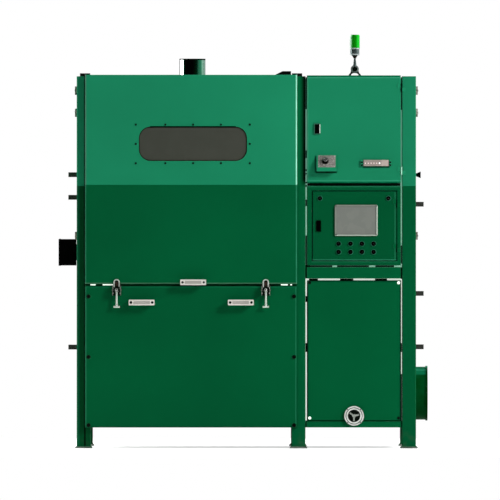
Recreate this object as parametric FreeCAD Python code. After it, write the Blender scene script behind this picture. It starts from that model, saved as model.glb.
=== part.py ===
import FreeCAD, Part
import math
import os

Vector = FreeCAD.Vector

# Millimetres. X runs to the right, Y to the back and Z up; the model is drawn about the middle of
# the frame and moved at the end, so that the origin is under the middle of everything.

# Frame
frame_width = 1934.0
frame_depth = 1300.0
left_face = -frame_width / 2
right_face = frame_width / 2
post_side = 80.0
post_wall = 5.0
post_bend = 8.0
mid_post_right = right_face - 630.0
mid_post_left = mid_post_right - post_side
foot_side = 100.0
foot_thick = 10.0
rail_deep = 60.0
sill_low = 120.0
sill_high = 160.0
top_rail_high = 2106.0
top_rail_tall = 60.0
post_top = top_rail_high + 16.0
rail_inset = 7.0
sheet = 3.0
roof_top = top_rail_high + sheet

# Fronts of the right bay, their levels measured down from the top rail
bay_left = mid_post_right + 8.0
bay_right = right_face - post_side - 7.0
bay_proud = 5.0
bay_pan = 22.0
seal_thick = 3.0
seal_wide = 26.0
stile_thick = 6.0
upper_door_low = top_rail_high - 593.0
upper_door_high = top_rail_high + 21.0
surround_high = upper_door_low - 16.0
surround_low = surround_high - 453.0
cover_rail_high = surround_low - 6.0
cover_rail_low = cover_rail_high - 69.0
service_left = bay_left + 4.0
service_right = bay_right - 2.0
service_low = sill_high
service_high = cover_rail_low - 14.0
sill_cover_high = service_low - 6.0
bay_hinge_out = 4.0
bay_barrel_radius = 3.8
bay_barrel_length = 22.0
bay_leaf_wide = 20.0
bay_leaf_thick = 2.5
hinge_inward = 70.0
mid_rail_high = cover_rail_low - 4.0
mid_rail_low = mid_rail_high - 60.0

# Grinding chamber and its front
hood_low = mid_rail_high - 27.0
hood_high = top_rail_high + 24.0
cover_left = left_face + 48.0
cover_right = mid_post_right - 48.0
door_low = sill_low
door_high = hood_low - 8.0
door_proud = 34.0
hood_proud = 40.0
hood_rest_gap = 3.0
cover_edge_round = 6.0
bay_edge_round = 4.0
window_left = cover_left + 307.0
window_right = cover_right - 285.0
window_low = hood_high - 491.0
window_high = hood_high - 296.0
window_round = 66.0
window_frame_wide = 30.0
pane_thick = 5.0
hinge_pin_back = 10.0
hinge_pin_high = hood_high + 3.0
hinge_barrel_radius = 6.0
hinge_barrel_length = 29.0
knuckle_gap = 0.5
hood_leaf_deep = 40.0
hood_leaf_thick = 4.0
stop_left = cover_right - 127.0
stop_right = cover_right - 34.0
stop_high = hood_high + 22.0
stop_back = 90.0
stop_thick = 8.0

# Toggle latches between hood and lower door
latch_left = cover_left + 180.0
latch_right = cover_right - 178.0
latch_top = hood_low + 28.0
latch_low = hood_low - 66.0
latch_wide = 50.0
latch_tongue_half = 14.0
latch_tongue_drop = 10.0
latch_base_thick = 3.0
latch_cheek_thick = 4.0
latch_cheek_high = 56.0
latch_cheek_proud = 30.0
latch_pin_high = latch_low + 31.0
latch_pin_proud = 20.0
latch_pin_radius = 4.0
latch_loop_wide = 36.0
latch_loop_rod = 7.0
lever_hub_radius = 10.0
lever_hub_wide = 20.0
lever_rod = 11.0
lever_bar_wide = 35.0
lever_bar_rod = 11.0
lever_bar_low = latch_low - 70.0
strike_wide = 40.0
strike_high = 24.0
strike_thick = 2.5

# Bridge handles
handle_long = 147.0
handle_wide = 32.0
handle_proud = 51.0
handle_plate = 9.0
handle_foot = 22.0
handle_hole_pitch = 121.0
handle_round = 4.0
handle_step = 3.0
door_handle_high = door_high - 97.5
front_handles = [
    (cover_left + 322.5, door_handle_high, "door"), (cover_right - 320.5, door_handle_high, "door"),
    ((cover_left + cover_right) / 2 + 12.0, hood_low + 9.5, "hood"),
]

# Inner control door
inner_left = bay_left + 33.0
inner_right = bay_right - 25.0
inner_low = surround_low + 28.0
inner_high = surround_high - 31.0
inner_gap = 4.0
inner_proud = 3.0
inner_barrel_radius = 3.0
screen_left = inner_left + 126.0
screen_right = inner_right - 107.0
screen_low = inner_low + 140.0
screen_high = inner_high - 77.0
screen_proud = 7.0
screen_round = 8.0
button_columns = [inner_left + across for across in (148.0, 215.5, 281.0, 347.5)]
button_rows = [inner_low + 95.5, inner_low + 48.5]
button_radius = 13.5
button_proud = 6.0
lock_places = [(inner_left + 41.5, inner_high - 40.0), (inner_right - 45.0, inner_high - 40.0)]
lock_radius = 13.0
slot_lock = (inner_left + 20.0, inner_left + 48.0, inner_low + 164.0, inner_low + 228.0)
door_lock = (bay_left + 45.0, bay_left + 72.0, upper_door_low + 282.0, upper_door_low + 336.0)
lock_proud = 5.0

# Switch console and indicator strip on the upper door
console_left = bay_left + 55.0
console_right = console_left + 113.0
console_low = upper_door_low + 67.0
console_lip = console_low + 18.0
console_high = console_low + 94.0
console_proud = 45.0
knob_x = console_left + 50.0
knob_z = console_low + 56.5
knob_radius = 16.0
knob_tall = 20.0
strip_left = bay_right - 228.0
strip_right = bay_right - 53.0
strip_low = upper_door_low + 97.0
strip_high = strip_low + 35.0
strip_thick = 10.0

# Drain fitting
drain_x = (bay_left + bay_right) / 2 + 1.5
drain_z = service_low + 26.0
drain_radius = 57.0
drain_recess_radius = 36.0
drain_thick = 16.0
drain_recess = 10.0
drain_pipe_radius = 21.0
drain_pipe_long = 90.0
drain_bore = 12.0
arm_long = 30.0
arm_wide = 9.0
arm_thick = 8.0
arm_hub_radius = 10.0
spindle_radius = 6.0

# Roof, duct and beacon
duct_x = (cover_left + cover_right) / 2 + 5.0
duct_y = 180.0
duct_radius = 75.0
duct_high = roof_top + 114.0
duct_wall = 3.0
collar_radius = 105.0
collar_thick = 5.0
beacon_x = (bay_left + bay_right) / 2 + 6.5
beacon_y = -500.0
beacon_pivot_high = roof_top + 55.0
beacon_disc = 22.0
beacon_disc_thick = 10.0
beacon_foot_half = 38.0
beacon_leg = 9.0
beacon_stem_radius = 6.0
beacon_cup_radius = 26.0
beacon_cup_low = beacon_pivot_high + 79.0
beacon_lens_low = beacon_cup_low + 38.0
beacon_lens_radius = 28.0
lens_crown = ((0.0, 8.0), (2.3, 2.3), (8.0, 0.0))
beacon_high = beacon_lens_low + 80.0

# Side fittings
panel_inset = 4.0
lower_split = mid_rail_high - 25.0
upper_split = upper_door_low - 13.0
panel_splits = [
    (sill_low + panel_inset, lower_split - panel_inset),
    (lower_split + panel_inset, upper_split - panel_inset),
    (upper_split + panel_inset, top_rail_high - panel_inset),
]
side_plate_levels = [
    (top_rail_high - 89.0, top_rail_high - 41.0), (top_rail_high - 215.0, top_rail_high - 168.0),
    (lower_split + 250.0, lower_split + 295.0),
]
side_plate_proud = 11.0
side_plate_long = 60.0
left_handle_levels = [upper_split + 62.5, upper_split - 67.0, lower_split - 364.0]
right_handle_levels = [upper_split - 106.5, lower_split - 57.0, lower_split - 362.5]
side_handle_y = -330.0
side_handle_high = 27.0
left_handle_proud = 51.0
right_handle_proud = 47.0
wing_z = upper_split + 61.0
wing_y = -420.0
wing_proud = 29.0
wing_half = 19.0
junction_reach = 106.0
junction_gap = 6.0
junction_low = lower_split + 103.0
junction_high = lower_split + 254.0
junction_front = -420.0
junction_long = 210.0
guard_radius = 157.0
guard_deep = 72.0
guard_z = 310.0
guard_rim = 12.0
guard_lip = 5.0

# Inside
barrel_high = hood_low + 117.0
barrel_share = 400.0 / 1055.0
barrel_radius = barrel_high * barrel_share
barrel_wall = 8.0
barrel_left = cover_left + 159.0
barrel_right = cover_right - 169.0
barrel_sides = 6
shaft_radius = 30.0
shaft_gap = 0.3
shaft_reach = 60.0
bearing_long = 190.0
bearing_thick = 56.0
bearing_ring = 62.0
tray_flat = 200.0
tray_rise = 130.0
tray_thick = 4.0
backplate_y = -250.0
backplate_thick = 3.0

# Levels and planes that follow from these sizes
front_face = -frame_depth / 2
back_face = frame_depth / 2
post_lefts = [left_face, mid_post_left, right_face - post_side]
hood_face = front_face - hood_proud
door_face = front_face - door_proud
bay_face = front_face - bay_proud
bay_back = bay_face + bay_pan
bay_rail_face = bay_back + seal_thick
hinge_pin_y = front_face + hinge_pin_back
inner_face = bay_face - inner_proud


def block(x0, x1, y0, y1, z0, z1):
    """A plain box between two corners."""
    return Part.makeBox(x1 - x0, y1 - y0, z1 - z0, Vector(x0, y0, z0))


def rod(start, direction, length, radius):
    """A round bar from a point along a direction."""
    return Part.makeCylinder(radius, length, Vector(*start), Vector(*direction))


def turned(start, direction, length, radius, sides=20):
    """A small turned part as a regular prism of many sides, which keeps its mesh light."""
    axis = Vector(*direction)
    axis.normalize()
    across = axis.cross(Vector(0, 0, 1)) if abs(axis.z) < 0.9 else Vector(1, 0, 0)
    across.normalize()
    upward = axis.cross(across)
    corners = []
    for step in range(sides):
        angle = 2 * math.pi * step / sides
        corners.append(
            Vector(*start) + across * radius * math.cos(angle) + upward * radius * math.sin(angle)
        )
    outline = Part.Face(Part.makePolygon(corners + corners[:1]))
    return outline.extrude(axis * length)


def prism(points, sweep):
    """A flat outline swept along a vector."""
    corners = [Vector(*p) for p in points]
    face = Part.Face(Part.makePolygon(corners + corners[:1]))
    return face.extrude(Vector(*sweep))


def rounded_block(x0, x1, y0, y1, z0, z1, radius):
    """A box whose four edges along Y are rounded, as a sheet part seen from the front."""
    body = block(x0, x1, y0, y1, z0, z1)
    along_y = [e for e in body.Edges if abs(e.tangentAt(e.FirstParameter).y) > 0.99]
    return body.makeFillet(radius, along_y)


def pan(x0, x1, z0, z1, face, deep, wall, bend):
    """A folded sheet panel: a face with a flange all round, open at the back."""
    body = block(x0, x1, face, face + deep, z0, z1)
    front_edges = [
        e for e in body.Edges if all(abs(v.Point.y - face) < 1e-6 for v in e.Vertexes)
    ]
    body = body.makeFillet(bend, front_edges)
    hollow = block(x0 + wall, x1 - wall, face + wall, face + deep + 1, z0 + wall, z1 - wall)
    return body.cut(hollow)


def frame_posts():
    """Six square tubes with rounded corners, standing on the foot plates."""
    posts = []
    for x in post_lefts:
        for y in (front_face, back_face - post_side):
            tube = block(x, x + post_side, y, y + post_side, foot_thick, post_top)
            corners = [e for e in tube.Edges if abs(e.tangentAt(e.FirstParameter).z) > 0.99]
            tube = tube.makeChamfer(post_bend / 2, corners)
            inside = block(
                x + post_wall, x + post_side - post_wall, y + post_wall,
                y + post_side - post_wall, foot_thick - 1, post_top - post_wall,
            )
            posts.append(tube.cut(inside))
    return posts


def foot_plates():
    """A square plate under each post, with four anchor holes left to its welds."""
    margin = (foot_side - post_side) / 2
    plates = []
    for x in post_lefts:
        for y in (front_face, back_face - post_side):
            plates.append(block(
                x - margin, x + post_side + margin, y - margin, y + post_side + margin,
                0, foot_thick,
            ))
    return plates


def front_rails():
    """Cross rails of the front; those of the right bay lie back behind its panels."""
    left0, left1 = left_face + post_side, mid_post_left
    right0, right1 = mid_post_right, right_face - post_side
    top_low = top_rail_high - top_rail_tall
    rails = [
        block(left0, left1, front_face, front_face + rail_deep, z0, z1)
        for z0, z1 in (
            (sill_low, sill_high), (mid_rail_low, mid_rail_high), (top_low, top_rail_high),
        )
    ]
    door_gap = (surround_high + upper_door_low) / 2
    rails += [
        block(right0, right1, bay_rail_face, bay_rail_face + rail_deep - bay_pan, z0, z1)
        for z0, z1 in (
            (sill_low, sill_high), (cover_rail_low, cover_rail_high),
            (door_gap - 25, door_gap + 25), (top_low, top_rail_high),
        )
    ]
    return rails


def bay_stiles():
    """Flat bars welded inside the posts of the right bay, which the panels close against."""
    right0, right1 = mid_post_right, right_face - post_side
    door_gap = (surround_high + upper_door_low) / 2
    top_low = top_rail_high - top_rail_tall
    spans = [
        (sill_high, cover_rail_low), (cover_rail_high, door_gap - 25), (door_gap + 25, top_low),
    ]
    bars = []
    for z0, z1 in spans:
        for x0, x1 in ((right0, right0 + seal_wide), (right1 - seal_wide, right1)):
            bars.append(block(x0, x1, bay_rail_face, bay_rail_face + stile_thick, z0, z1))
    return bars


def rear_rails():
    """Cross rails between the rear posts."""
    rails = []
    top_low = top_rail_high - top_rail_tall
    for x0, x1 in ((left_face + post_side, mid_post_left), (mid_post_right, right_face - post_side)):
        for z0, z1 in ((sill_low, sill_high), (mid_rail_low, mid_rail_high), (top_low, top_rail_high)):
            rails.append(block(
                x0, x1, back_face - rail_inset - rail_deep, back_face - rail_inset, z0, z1,
            ))
    return rails


def side_rails():
    """Rails from front to back, at the left side, between the bays and at the right side."""
    rails = []
    top_low = top_rail_high - top_rail_tall
    y0, y1 = front_face + post_side, back_face - post_side
    starts = [
        left_face + rail_inset,
        mid_post_left,
        right_face - rail_inset - rail_deep,
    ]
    for x in starts:
        for z0, z1 in ((sill_low, sill_high), (mid_rail_low, mid_rail_high), (top_low, top_rail_high)):
            rails.append(block(x, x + rail_deep, y0, y1, z0, z1))
    return rails


def roof_sheet():
    """The sheet roof on the top rails, notched round the posts, with a hole for the duct."""
    sheet_top = block(left_face, right_face, front_face, back_face, top_rail_high, roof_top)
    for x in post_lefts:
        for y in (front_face, back_face - post_side):
            notch = block(x, x + post_side, y, y + post_side, top_rail_high - 1, roof_top + 1)
            sheet_top = sheet_top.cut(notch)
    sheet_top = sheet_top.cut(block(
        mid_post_right - 1, right_face - post_side + 1, front_face - 1, bay_rail_face,
        top_rail_high - 1, roof_top + 1,
    ))
    hole = rod((duct_x, duct_y, top_rail_high - 1), (0, 0, 1), sheet + 2, duct_radius - duct_wall)
    return [sheet_top.cut(hole)]


def exhaust_duct():
    """A spun spigot with a flat collar, which a hose or pipe is pushed over."""
    outer = rod((duct_x, duct_y, roof_top), (0, 0, 1), duct_high - roof_top, duct_radius)
    collar = turned((duct_x, duct_y, roof_top), (0, 0, 1), collar_thick, collar_radius, 64)
    bore = rod(
        (duct_x, duct_y, roof_top - 1), (0, 0, 1), duct_high - roof_top + 2,
        duct_radius - duct_wall,
    )
    return [outer.fuse(collar).cut(bore)]


def side_panels(side):
    """Sheet panels of one side, one above the other, on the outer faces of the side rails."""
    y0, y1 = front_face + post_side + 2, back_face - post_side - 2
    if side == "left":
        x1 = left_face + rail_inset
        x0 = x1 - sheet
    else:
        x0 = right_face - rail_inset
        x1 = x0 + sheet
    return [block(x0, x1, y0, y1, z0, z1) for z0, z1 in panel_splits]


def rear_panels():
    """Sheet panels of the back, on the rear rails, in both bays."""
    y0 = back_face - rail_inset
    panels = []
    for x0, x1 in ((left_face + post_side, mid_post_left), (mid_post_right, right_face - post_side)):
        for z0, z1 in ((panel_splits[0]), (panel_splits[1][0], panel_splits[2][1])):
            panels.append(block(x0 + 2, x1 - 2, y0, y0 + sheet, z0, z1))
    return panels


def partition_wall():
    """The wall between chamber and cabinet, on the side rails, with a hole for the shaft."""
    x0 = mid_post_left + rail_deep
    wall = block(
        x0, x0 + sheet, front_face + post_side, back_face - post_side, sill_low, top_rail_high,
    )
    hole = rod((x0 - 1, 0, barrel_high), (1, 0, 0), sheet + 2, shaft_radius + 10)
    return [wall.cut(hole)]


def chamber_tray():
    """The floor tray: a flat middle on the sill rails and two sides that slope up."""
    half = tray_flat / 2
    reach = back_face - post_side - 10
    z = sill_high
    outline = [
        (0, -half, z), (0, half, z), (0, reach, z + tray_rise), (0, reach, z + tray_rise + tray_thick),
        (0, half - tray_thick / 2, z + tray_thick), (0, -half + tray_thick / 2, z + tray_thick),
        (0, -reach, z + tray_rise + tray_thick), (0, -reach, z + tray_rise),
    ]
    x0 = left_face + post_side - 25
    x1 = mid_post_left + 25
    moved = [(x0, y, zz) for _, y, zz in outline]
    return [prism(moved, (x1 - x0, 0, 0))]


def seal_strips():
    """Pale sealing strips on the stiles and rails, behind the gaps of the right bay."""
    right0, right1 = mid_post_right, right_face - post_side
    y0, y1 = bay_back, bay_rail_face
    strips = []
    for z0, z1 in ((sill_high, cover_rail_low), (cover_rail_high + 8, roof_top - sheet)):
        for x0, x1 in ((right0, right0 + seal_wide), (right1 - seal_wide, right1)):
            strips.append(block(x0, x1, y0, y1, z0, z1))
    inner0, inner1 = right0 + seal_wide, right1 - seal_wide
    strips.append(block(inner0, inner1, y0, y1, service_high - 12, cover_rail_low))
    strips.append(block(inner0, inner1, y0, y1, cover_rail_high - 4, surround_low + 6))
    return strips


def bay_covers():
    """Two folded strips of the right bay: over the sill and over the rail above the service panel."""
    y0, y1 = bay_face, bay_rail_face
    return [
        rounded_block(bay_left, bay_right, y0, y1, sill_low, sill_cover_high, 2),
        rounded_block(bay_left, bay_right, y0, y1, cover_rail_low, cover_rail_high - 4, 2),
    ]


def front_hood():
    """The hood: a folded pan with the window opening and a top flange back to its hinges."""
    deep = hood_proud - hood_rest_gap
    hood = pan(
        cover_left, cover_right, hood_low, hood_high, hood_face, deep, sheet, cover_edge_round,
    )
    flange = block(
        cover_left, cover_right, hood_face + deep - 1, hinge_pin_y - hinge_barrel_radius,
        hood_high - sheet, hood_high,
    )
    opening = rounded_block(
        window_left, window_right, hood_face - 1, hood_face + sheet + 1,
        window_low, window_high, window_round,
    )
    return [hood.fuse(flange).removeSplitter().cut(opening)]


def window_pane():
    """The clear pane, held against the back of the hood's face."""
    rim = window_frame_wide
    y0 = hood_face + sheet
    return [rounded_block(
        window_left - rim, window_right + rim, y0, y0 + pane_thick,
        window_low - rim, window_high + rim, window_round,
    )]


def window_frame():
    """The clamp frame behind the pane, which the small screws of the hood's face pull on."""
    rim = window_frame_wide
    y0 = hood_face + sheet + pane_thick
    outer = rounded_block(
        window_left - rim, window_right + rim, y0, y0 + sheet,
        window_low - rim, window_high + rim, window_round,
    )
    inner = rounded_block(
        window_left, window_right, y0 - 1, y0 + sheet + 1, window_low, window_high, window_round,
    )
    return [outer.cut(inner)]


def hood_hinge_leaves():
    """The moving halves of the two hood hinges, on the hood's top flange."""
    leaves = []
    for x0 in (cover_left, cover_right - hinge_barrel_length):
        x1 = x0 + hinge_barrel_length
        barrel = turned((x0, hinge_pin_y, hinge_pin_high), (1, 0, 0), x1 - x0, hinge_barrel_radius)
        leaf = block(
            x0, x1, hinge_pin_y - hood_leaf_deep, hinge_pin_y, hood_high, hood_high + hood_leaf_thick,
        )
        leaves.append(leaf.fuse(barrel).removeSplitter())
    return leaves


def hood_hinge_brackets():
    """The fixed halves of the hood hinges, welded on the post tops."""
    brackets = []
    left_x1 = cover_left - knuckle_gap
    right_x0 = cover_right + knuckle_gap
    for x0, x1 in (
        (left_x1 - hinge_barrel_length, left_x1), (right_x0, right_x0 + hinge_barrel_length),
    ):
        barrel = turned((x0, hinge_pin_y, hinge_pin_high), (1, 0, 0), x1 - x0, hinge_barrel_radius)
        pad = block(
            x0, x1, hinge_pin_y - hinge_barrel_radius, hinge_pin_y + 34, post_top, hinge_pin_high - 1,
        )
        brackets.append(pad.fuse(barrel).removeSplitter())
    return brackets


def hood_stop():
    """A gusset plate on the roof behind the hood."""
    y0 = front_face + stop_back
    slope = stop_high - hood_high
    outline = [
        (stop_left, y0, roof_top), (stop_right, y0, roof_top), (stop_right, y0, stop_high),
        (stop_left + 2 * slope, y0, stop_high), (stop_left, y0, hood_high),
    ]
    return [prism(outline, (0, stop_thick, 0))]


def latch_body(x):
    """A latch of the hood: base plate, two cheeks, the pin between them and the loop on top."""
    half = latch_wide / 2
    y_base = hood_face - latch_base_thick
    base = block(
        x - latch_tongue_half, x + latch_tongue_half, y_base, hood_face, latch_low,
        latch_top - latch_tongue_drop,
    )
    body = base
    for side in (-1, 1):
        x0 = x + half - latch_cheek_thick if side > 0 else x - half
        cheek = block(
            x0, x0 + latch_cheek_thick, hood_face - latch_cheek_proud, hood_face,
            latch_low, latch_low + latch_cheek_high,
        )
        flange = block(
            min(x0, x + side * latch_tongue_half),
            max(x0 + latch_cheek_thick, x + side * latch_tongue_half),
            y_base, hood_face, latch_low, latch_low + latch_cheek_high,
        )
        body = body.fuse(cheek).fuse(flange)
    pin_y = hood_face - latch_pin_proud
    pin = turned((x - half - 3, pin_y, latch_pin_high), (1, 0, 0), latch_wide + 6, latch_pin_radius)
    loop_out = latch_loop_wide / 2
    loop_y = y_base - latch_loop_rod
    leg_low = latch_low + latch_cheek_high - 8
    bend_z = latch_top - loop_out
    for side in (-1, 1):
        x0, x1 = sorted((x + side * (loop_out - latch_loop_rod), x + side * loop_out))
        body = body.fuse(block(x0, x1, loop_y, y_base, leg_low, bend_z))
    bend_middle = (x, loop_y, bend_z)
    arch = turned(bend_middle, (0, 1, 0), latch_loop_rod, loop_out, 24).cut(
        turned(bend_middle, (0, 1, 0), latch_loop_rod, loop_out - latch_loop_rod, 24),
    )
    upper = block(x - loop_out, x + loop_out, loop_y, y_base, bend_z, latch_top)
    body = body.fuse(arch.common(upper)).fuse(pin)
    return body.removeSplitter()


def latch_bodies():
    """Both latches, riding on the hood."""
    return [latch_body(latch_left), latch_body(latch_right)]


def latch_lever(x):
    """The T lever of a latch: hub on the pin, round rod and cross bar at its end."""
    pin_y = hood_face - latch_pin_proud
    hub = turned(
        (x - lever_hub_wide / 2, pin_y, latch_pin_high), (1, 0, 0), lever_hub_wide, lever_hub_radius,
    )
    bar_z = lever_bar_low + lever_bar_rod / 2
    stem = turned((x, pin_y, bar_z), (0, 0, 1), latch_pin_high - bar_z, lever_rod / 2)
    bar = turned(
        (x - lever_bar_wide / 2, pin_y, bar_z), (1, 0, 0), lever_bar_wide, lever_bar_rod / 2,
    )
    bore = turned(
        (x - lever_hub_wide, pin_y, latch_pin_high), (1, 0, 0), 2 * lever_hub_wide,
        latch_pin_radius + shaft_gap,
    )
    return [hub.fuse(stem).fuse(bar).cut(bore)]


def latch_strikes():
    """Low strike plates on the lower door, behind the latches."""
    plates = []
    for x in (latch_left, latch_right):
        plates.append(block(
            x - strike_wide / 2, x + strike_wide / 2, door_face - strike_thick, door_face,
            latch_low + 6, latch_low + 6 + strike_high,
        ))
    return plates


def lower_door():
    """The bolted lower door, a folded pan whose flanges lie on posts and rails."""
    return [pan(
        cover_left, cover_right, door_low, door_high, door_face, door_proud, sheet,
        cover_edge_round,
    )]


def bridge_handle(x, z, face):
    """A flat grip plate on two round-cornered feet."""
    half = handle_long / 2
    z0, z1 = z - handle_wide / 2, z + handle_wide / 2
    y0 = face - handle_proud
    y1 = y0 + handle_plate
    grip = rounded_block(x - half, x + half, y0, y1, z0, z1, handle_round)
    pieces = [grip]
    for side in (-1, 1):
        middle = x + side * handle_hole_pitch / 2
        x0, x1 = middle - handle_foot / 2, middle + handle_foot / 2
        pieces.append(block(x0, x1, y1, face, z0 + handle_step, z1 - handle_step))
    return pieces[0].fuse(pieces[1:]).removeSplitter()


def hood_handle():
    """The handle at the hood's lower edge."""
    return [bridge_handle(x, z, hood_face) for x, z, on in front_handles if on == "hood"]


def lower_door_handles():
    """The two handles of the lower door."""
    return [bridge_handle(x, z, door_face) for x, z, on in front_handles if on == "door"]


def hinge_levels(low, high):
    """Where the two hinges of a door stand, as the middles of their barrels."""
    return [low + hinge_inward, high - hinge_inward]


def fixed_leaf(pin_x, pin_y, z, radius, seat_y, seat_x):
    """The fixed half of a door hinge: a lower knuckle and a leaf on its seat."""
    knuckle = turned((pin_x, pin_y, z - bay_barrel_length), (0, 0, 1), bay_barrel_length, radius)
    leaf = block(
        pin_x, seat_x + bay_leaf_wide, seat_y - bay_leaf_thick, seat_y, z - bay_barrel_length, z,
    )
    bridge = block(
        pin_x, pin_x + radius, pin_y, seat_y, z - bay_barrel_length, z,
    )
    return knuckle.fuse(leaf).fuse(bridge).removeSplitter()


def moving_leaf(pin_x, pin_y, z, radius, face, edge):
    """The moving half of a door hinge: an upper knuckle and a leaf on the door's face."""
    z0 = z + knuckle_gap
    knuckle = turned((pin_x, pin_y, z0), (0, 0, 1), bay_barrel_length, radius)
    leaf = block(
        edge - bay_leaf_wide, pin_x, face - bay_leaf_thick, face, z0, z0 + bay_barrel_length,
    )
    return knuckle.fuse(leaf).removeSplitter()


upper_pin_x = bay_right + bay_hinge_out
upper_pin_y = bay_face - 2
inner_pin_x = inner_right + inner_gap / 2
inner_pin_y = inner_face - inner_barrel_radius / 2


def cabinet_door():
    """The upper door, a folded pan."""
    return [pan(
        bay_left, bay_right, upper_door_low, upper_door_high, bay_face, bay_pan, sheet, bay_edge_round,
    )]


def door_hinges_fixed():
    """Fixed hinge halves of the upper door on the post, and of the control door on its surround."""
    leaves = [
        fixed_leaf(
            upper_pin_x, upper_pin_y, z, bay_barrel_radius, front_face, right_face - post_side,
        )
        for z in hinge_levels(upper_door_low, upper_door_high)
    ]
    leaves += [
        fixed_leaf(
            inner_pin_x, inner_pin_y, z, inner_barrel_radius, bay_face, inner_right + inner_gap,
        )
        for z in hinge_levels(inner_low, inner_high)
    ]
    return leaves


def cabinet_door_leaves():
    """Moving hinge halves on the upper door."""
    return [
        moving_leaf(upper_pin_x, upper_pin_y, z, bay_barrel_radius, bay_face, bay_right)
        for z in hinge_levels(upper_door_low, upper_door_high)
    ]


def control_door_leaves():
    """Moving hinge halves on the control door."""
    return [
        moving_leaf(inner_pin_x, inner_pin_y, z, inner_barrel_radius, inner_face, inner_right)
        for z in hinge_levels(inner_low, inner_high)
    ]


def cabinet_door_lock():
    """The slot lock of the upper door."""
    x0, x1, z0, z1 = door_lock
    return [rounded_block(x0, x1, bay_face - lock_proud, bay_face, z0, z1, 3)]


def switch_console():
    """A wedge box on the upper door, with its switch face sloping out towards the lip."""
    y = bay_face
    outline = [
        (console_left, y, console_low), (console_left, y, console_high),
        (console_left, y - console_proud, console_lip), (console_left, y - console_proud, console_low),
    ]
    return [prism(outline, (console_right - console_left, 0, 0))]


slope_rise = console_high - console_lip
slope_long = math.hypot(slope_rise, console_proud)
knob_axis = (0.0, -slope_rise / slope_long, console_proud / slope_long)
knob_seat_y = bay_face - console_proud * (console_high - knob_z) / slope_rise


def selector_knob():
    """The round switch knob, square to the sloping face."""
    start = (
        knob_x, knob_seat_y + knob_axis[1] * shaft_gap, knob_z + knob_axis[2] * shaft_gap,
    )
    return [turned(start, knob_axis, knob_tall, knob_radius, 32)]


def indicator_strip():
    """The plate of small lamps beside the console."""
    return [rounded_block(
        strip_left, strip_right, bay_face - strip_thick, bay_face, strip_low, strip_high, 4,
    )]


def control_surround():
    """The pan round the control door, with its opening."""
    body = pan(
        bay_left, bay_right, surround_low, surround_high, bay_face, bay_pan, sheet,
        bay_edge_round,
    )
    opening = block(
        inner_left - inner_gap, inner_right + inner_gap, bay_face - 1, bay_face + sheet + 1,
        inner_low - inner_gap, inner_high + inner_gap,
    )
    return [body.cut(opening)]


def control_door():
    """The inner door that carries screen, buttons and locks."""
    return [pan(
        inner_left, inner_right, inner_low, inner_high, inner_face, bay_pan - 4, sheet, 2,
    )]


def control_screen():
    """The screen in its rounded bezel."""
    return [rounded_block(
        screen_left, screen_right, inner_face - screen_proud, inner_face, screen_low, screen_high,
        screen_round,
    )]


def push_buttons():
    """Eight round buttons in two rows."""
    return [
        turned((x, inner_face - button_proud, z), (0, 1, 0), button_proud, button_radius)
        for z in button_rows for x in button_columns
    ]


def control_locks():
    """Two round locks and a slot lock of the control door."""
    x0, x1, z0, z1 = slot_lock
    locks = [
        turned((x, inner_face - lock_proud, z), (0, 1, 0), lock_proud, lock_radius)
        for x, z in lock_places
    ]
    return locks + [rounded_block(x0, x1, inner_face - lock_proud, inner_face, z0, z1, 3)]


def service_panel():
    """The bolted lower panel, notched from below for the drain pipe."""
    panel = pan(
        service_left, service_right, service_low, service_high, bay_face, bay_pan, sheet, bay_edge_round,
    )
    radius = drain_pipe_radius + 5
    notch = rod((drain_x, bay_face - 1, drain_z), (0, 1, 0), bay_pan + 2, radius)
    slot = block(
        drain_x - radius, drain_x + radius, bay_face - 1, bay_back + 1, service_low - 1, drain_z,
    )
    return [panel.cut(notch).cut(slot)]


def drain_fitting():
    """A round flange on the panel with a dished face, and its pipe running inside."""
    y0 = bay_face - drain_thick
    flange = turned((drain_x, y0, drain_z), (0, 1, 0), drain_thick, drain_radius, 60)
    dish = turned((drain_x, y0 - 1, drain_z), (0, 1, 0), drain_recess + 1, drain_recess_radius, 48)
    pipe = turned((drain_x, bay_face, drain_z), (0, 1, 0), drain_pipe_long, drain_pipe_radius, 36)
    bore = turned((drain_x, bay_face + 6, drain_z), (0, 1, 0), drain_pipe_long, drain_bore, 36)
    seat = turned(
        (drain_x, y0 + drain_recess - 1, drain_z), (0, 1, 0), drain_thick - drain_recess + 3,
        spindle_radius + shaft_gap,
    )
    return [flange.cut(dish).fuse(pipe).cut(bore).cut(seat)]


def drain_handle():
    """The three-arm handle in the dish, on its spindle."""
    y0 = bay_face - drain_thick - 2
    hub = turned((drain_x, y0, drain_z), (0, 1, 0), arm_thick, arm_hub_radius, 24)
    spindle = turned((drain_x, y0, drain_z), (0, 1, 0), drain_thick + 1, spindle_radius)
    handle = hub.fuse(spindle)
    for angle in (144.0, 14.0, 268.0):
        arm = block(
            drain_x, drain_x + arm_long, y0, y0 + arm_thick, drain_z - arm_wide / 2,
            drain_z + arm_wide / 2,
        )
        arm.rotate(Vector(drain_x, y0, drain_z), Vector(0, -1, 0), angle)
        handle = handle.fuse(arm)
    return [handle.removeSplitter()]


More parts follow.
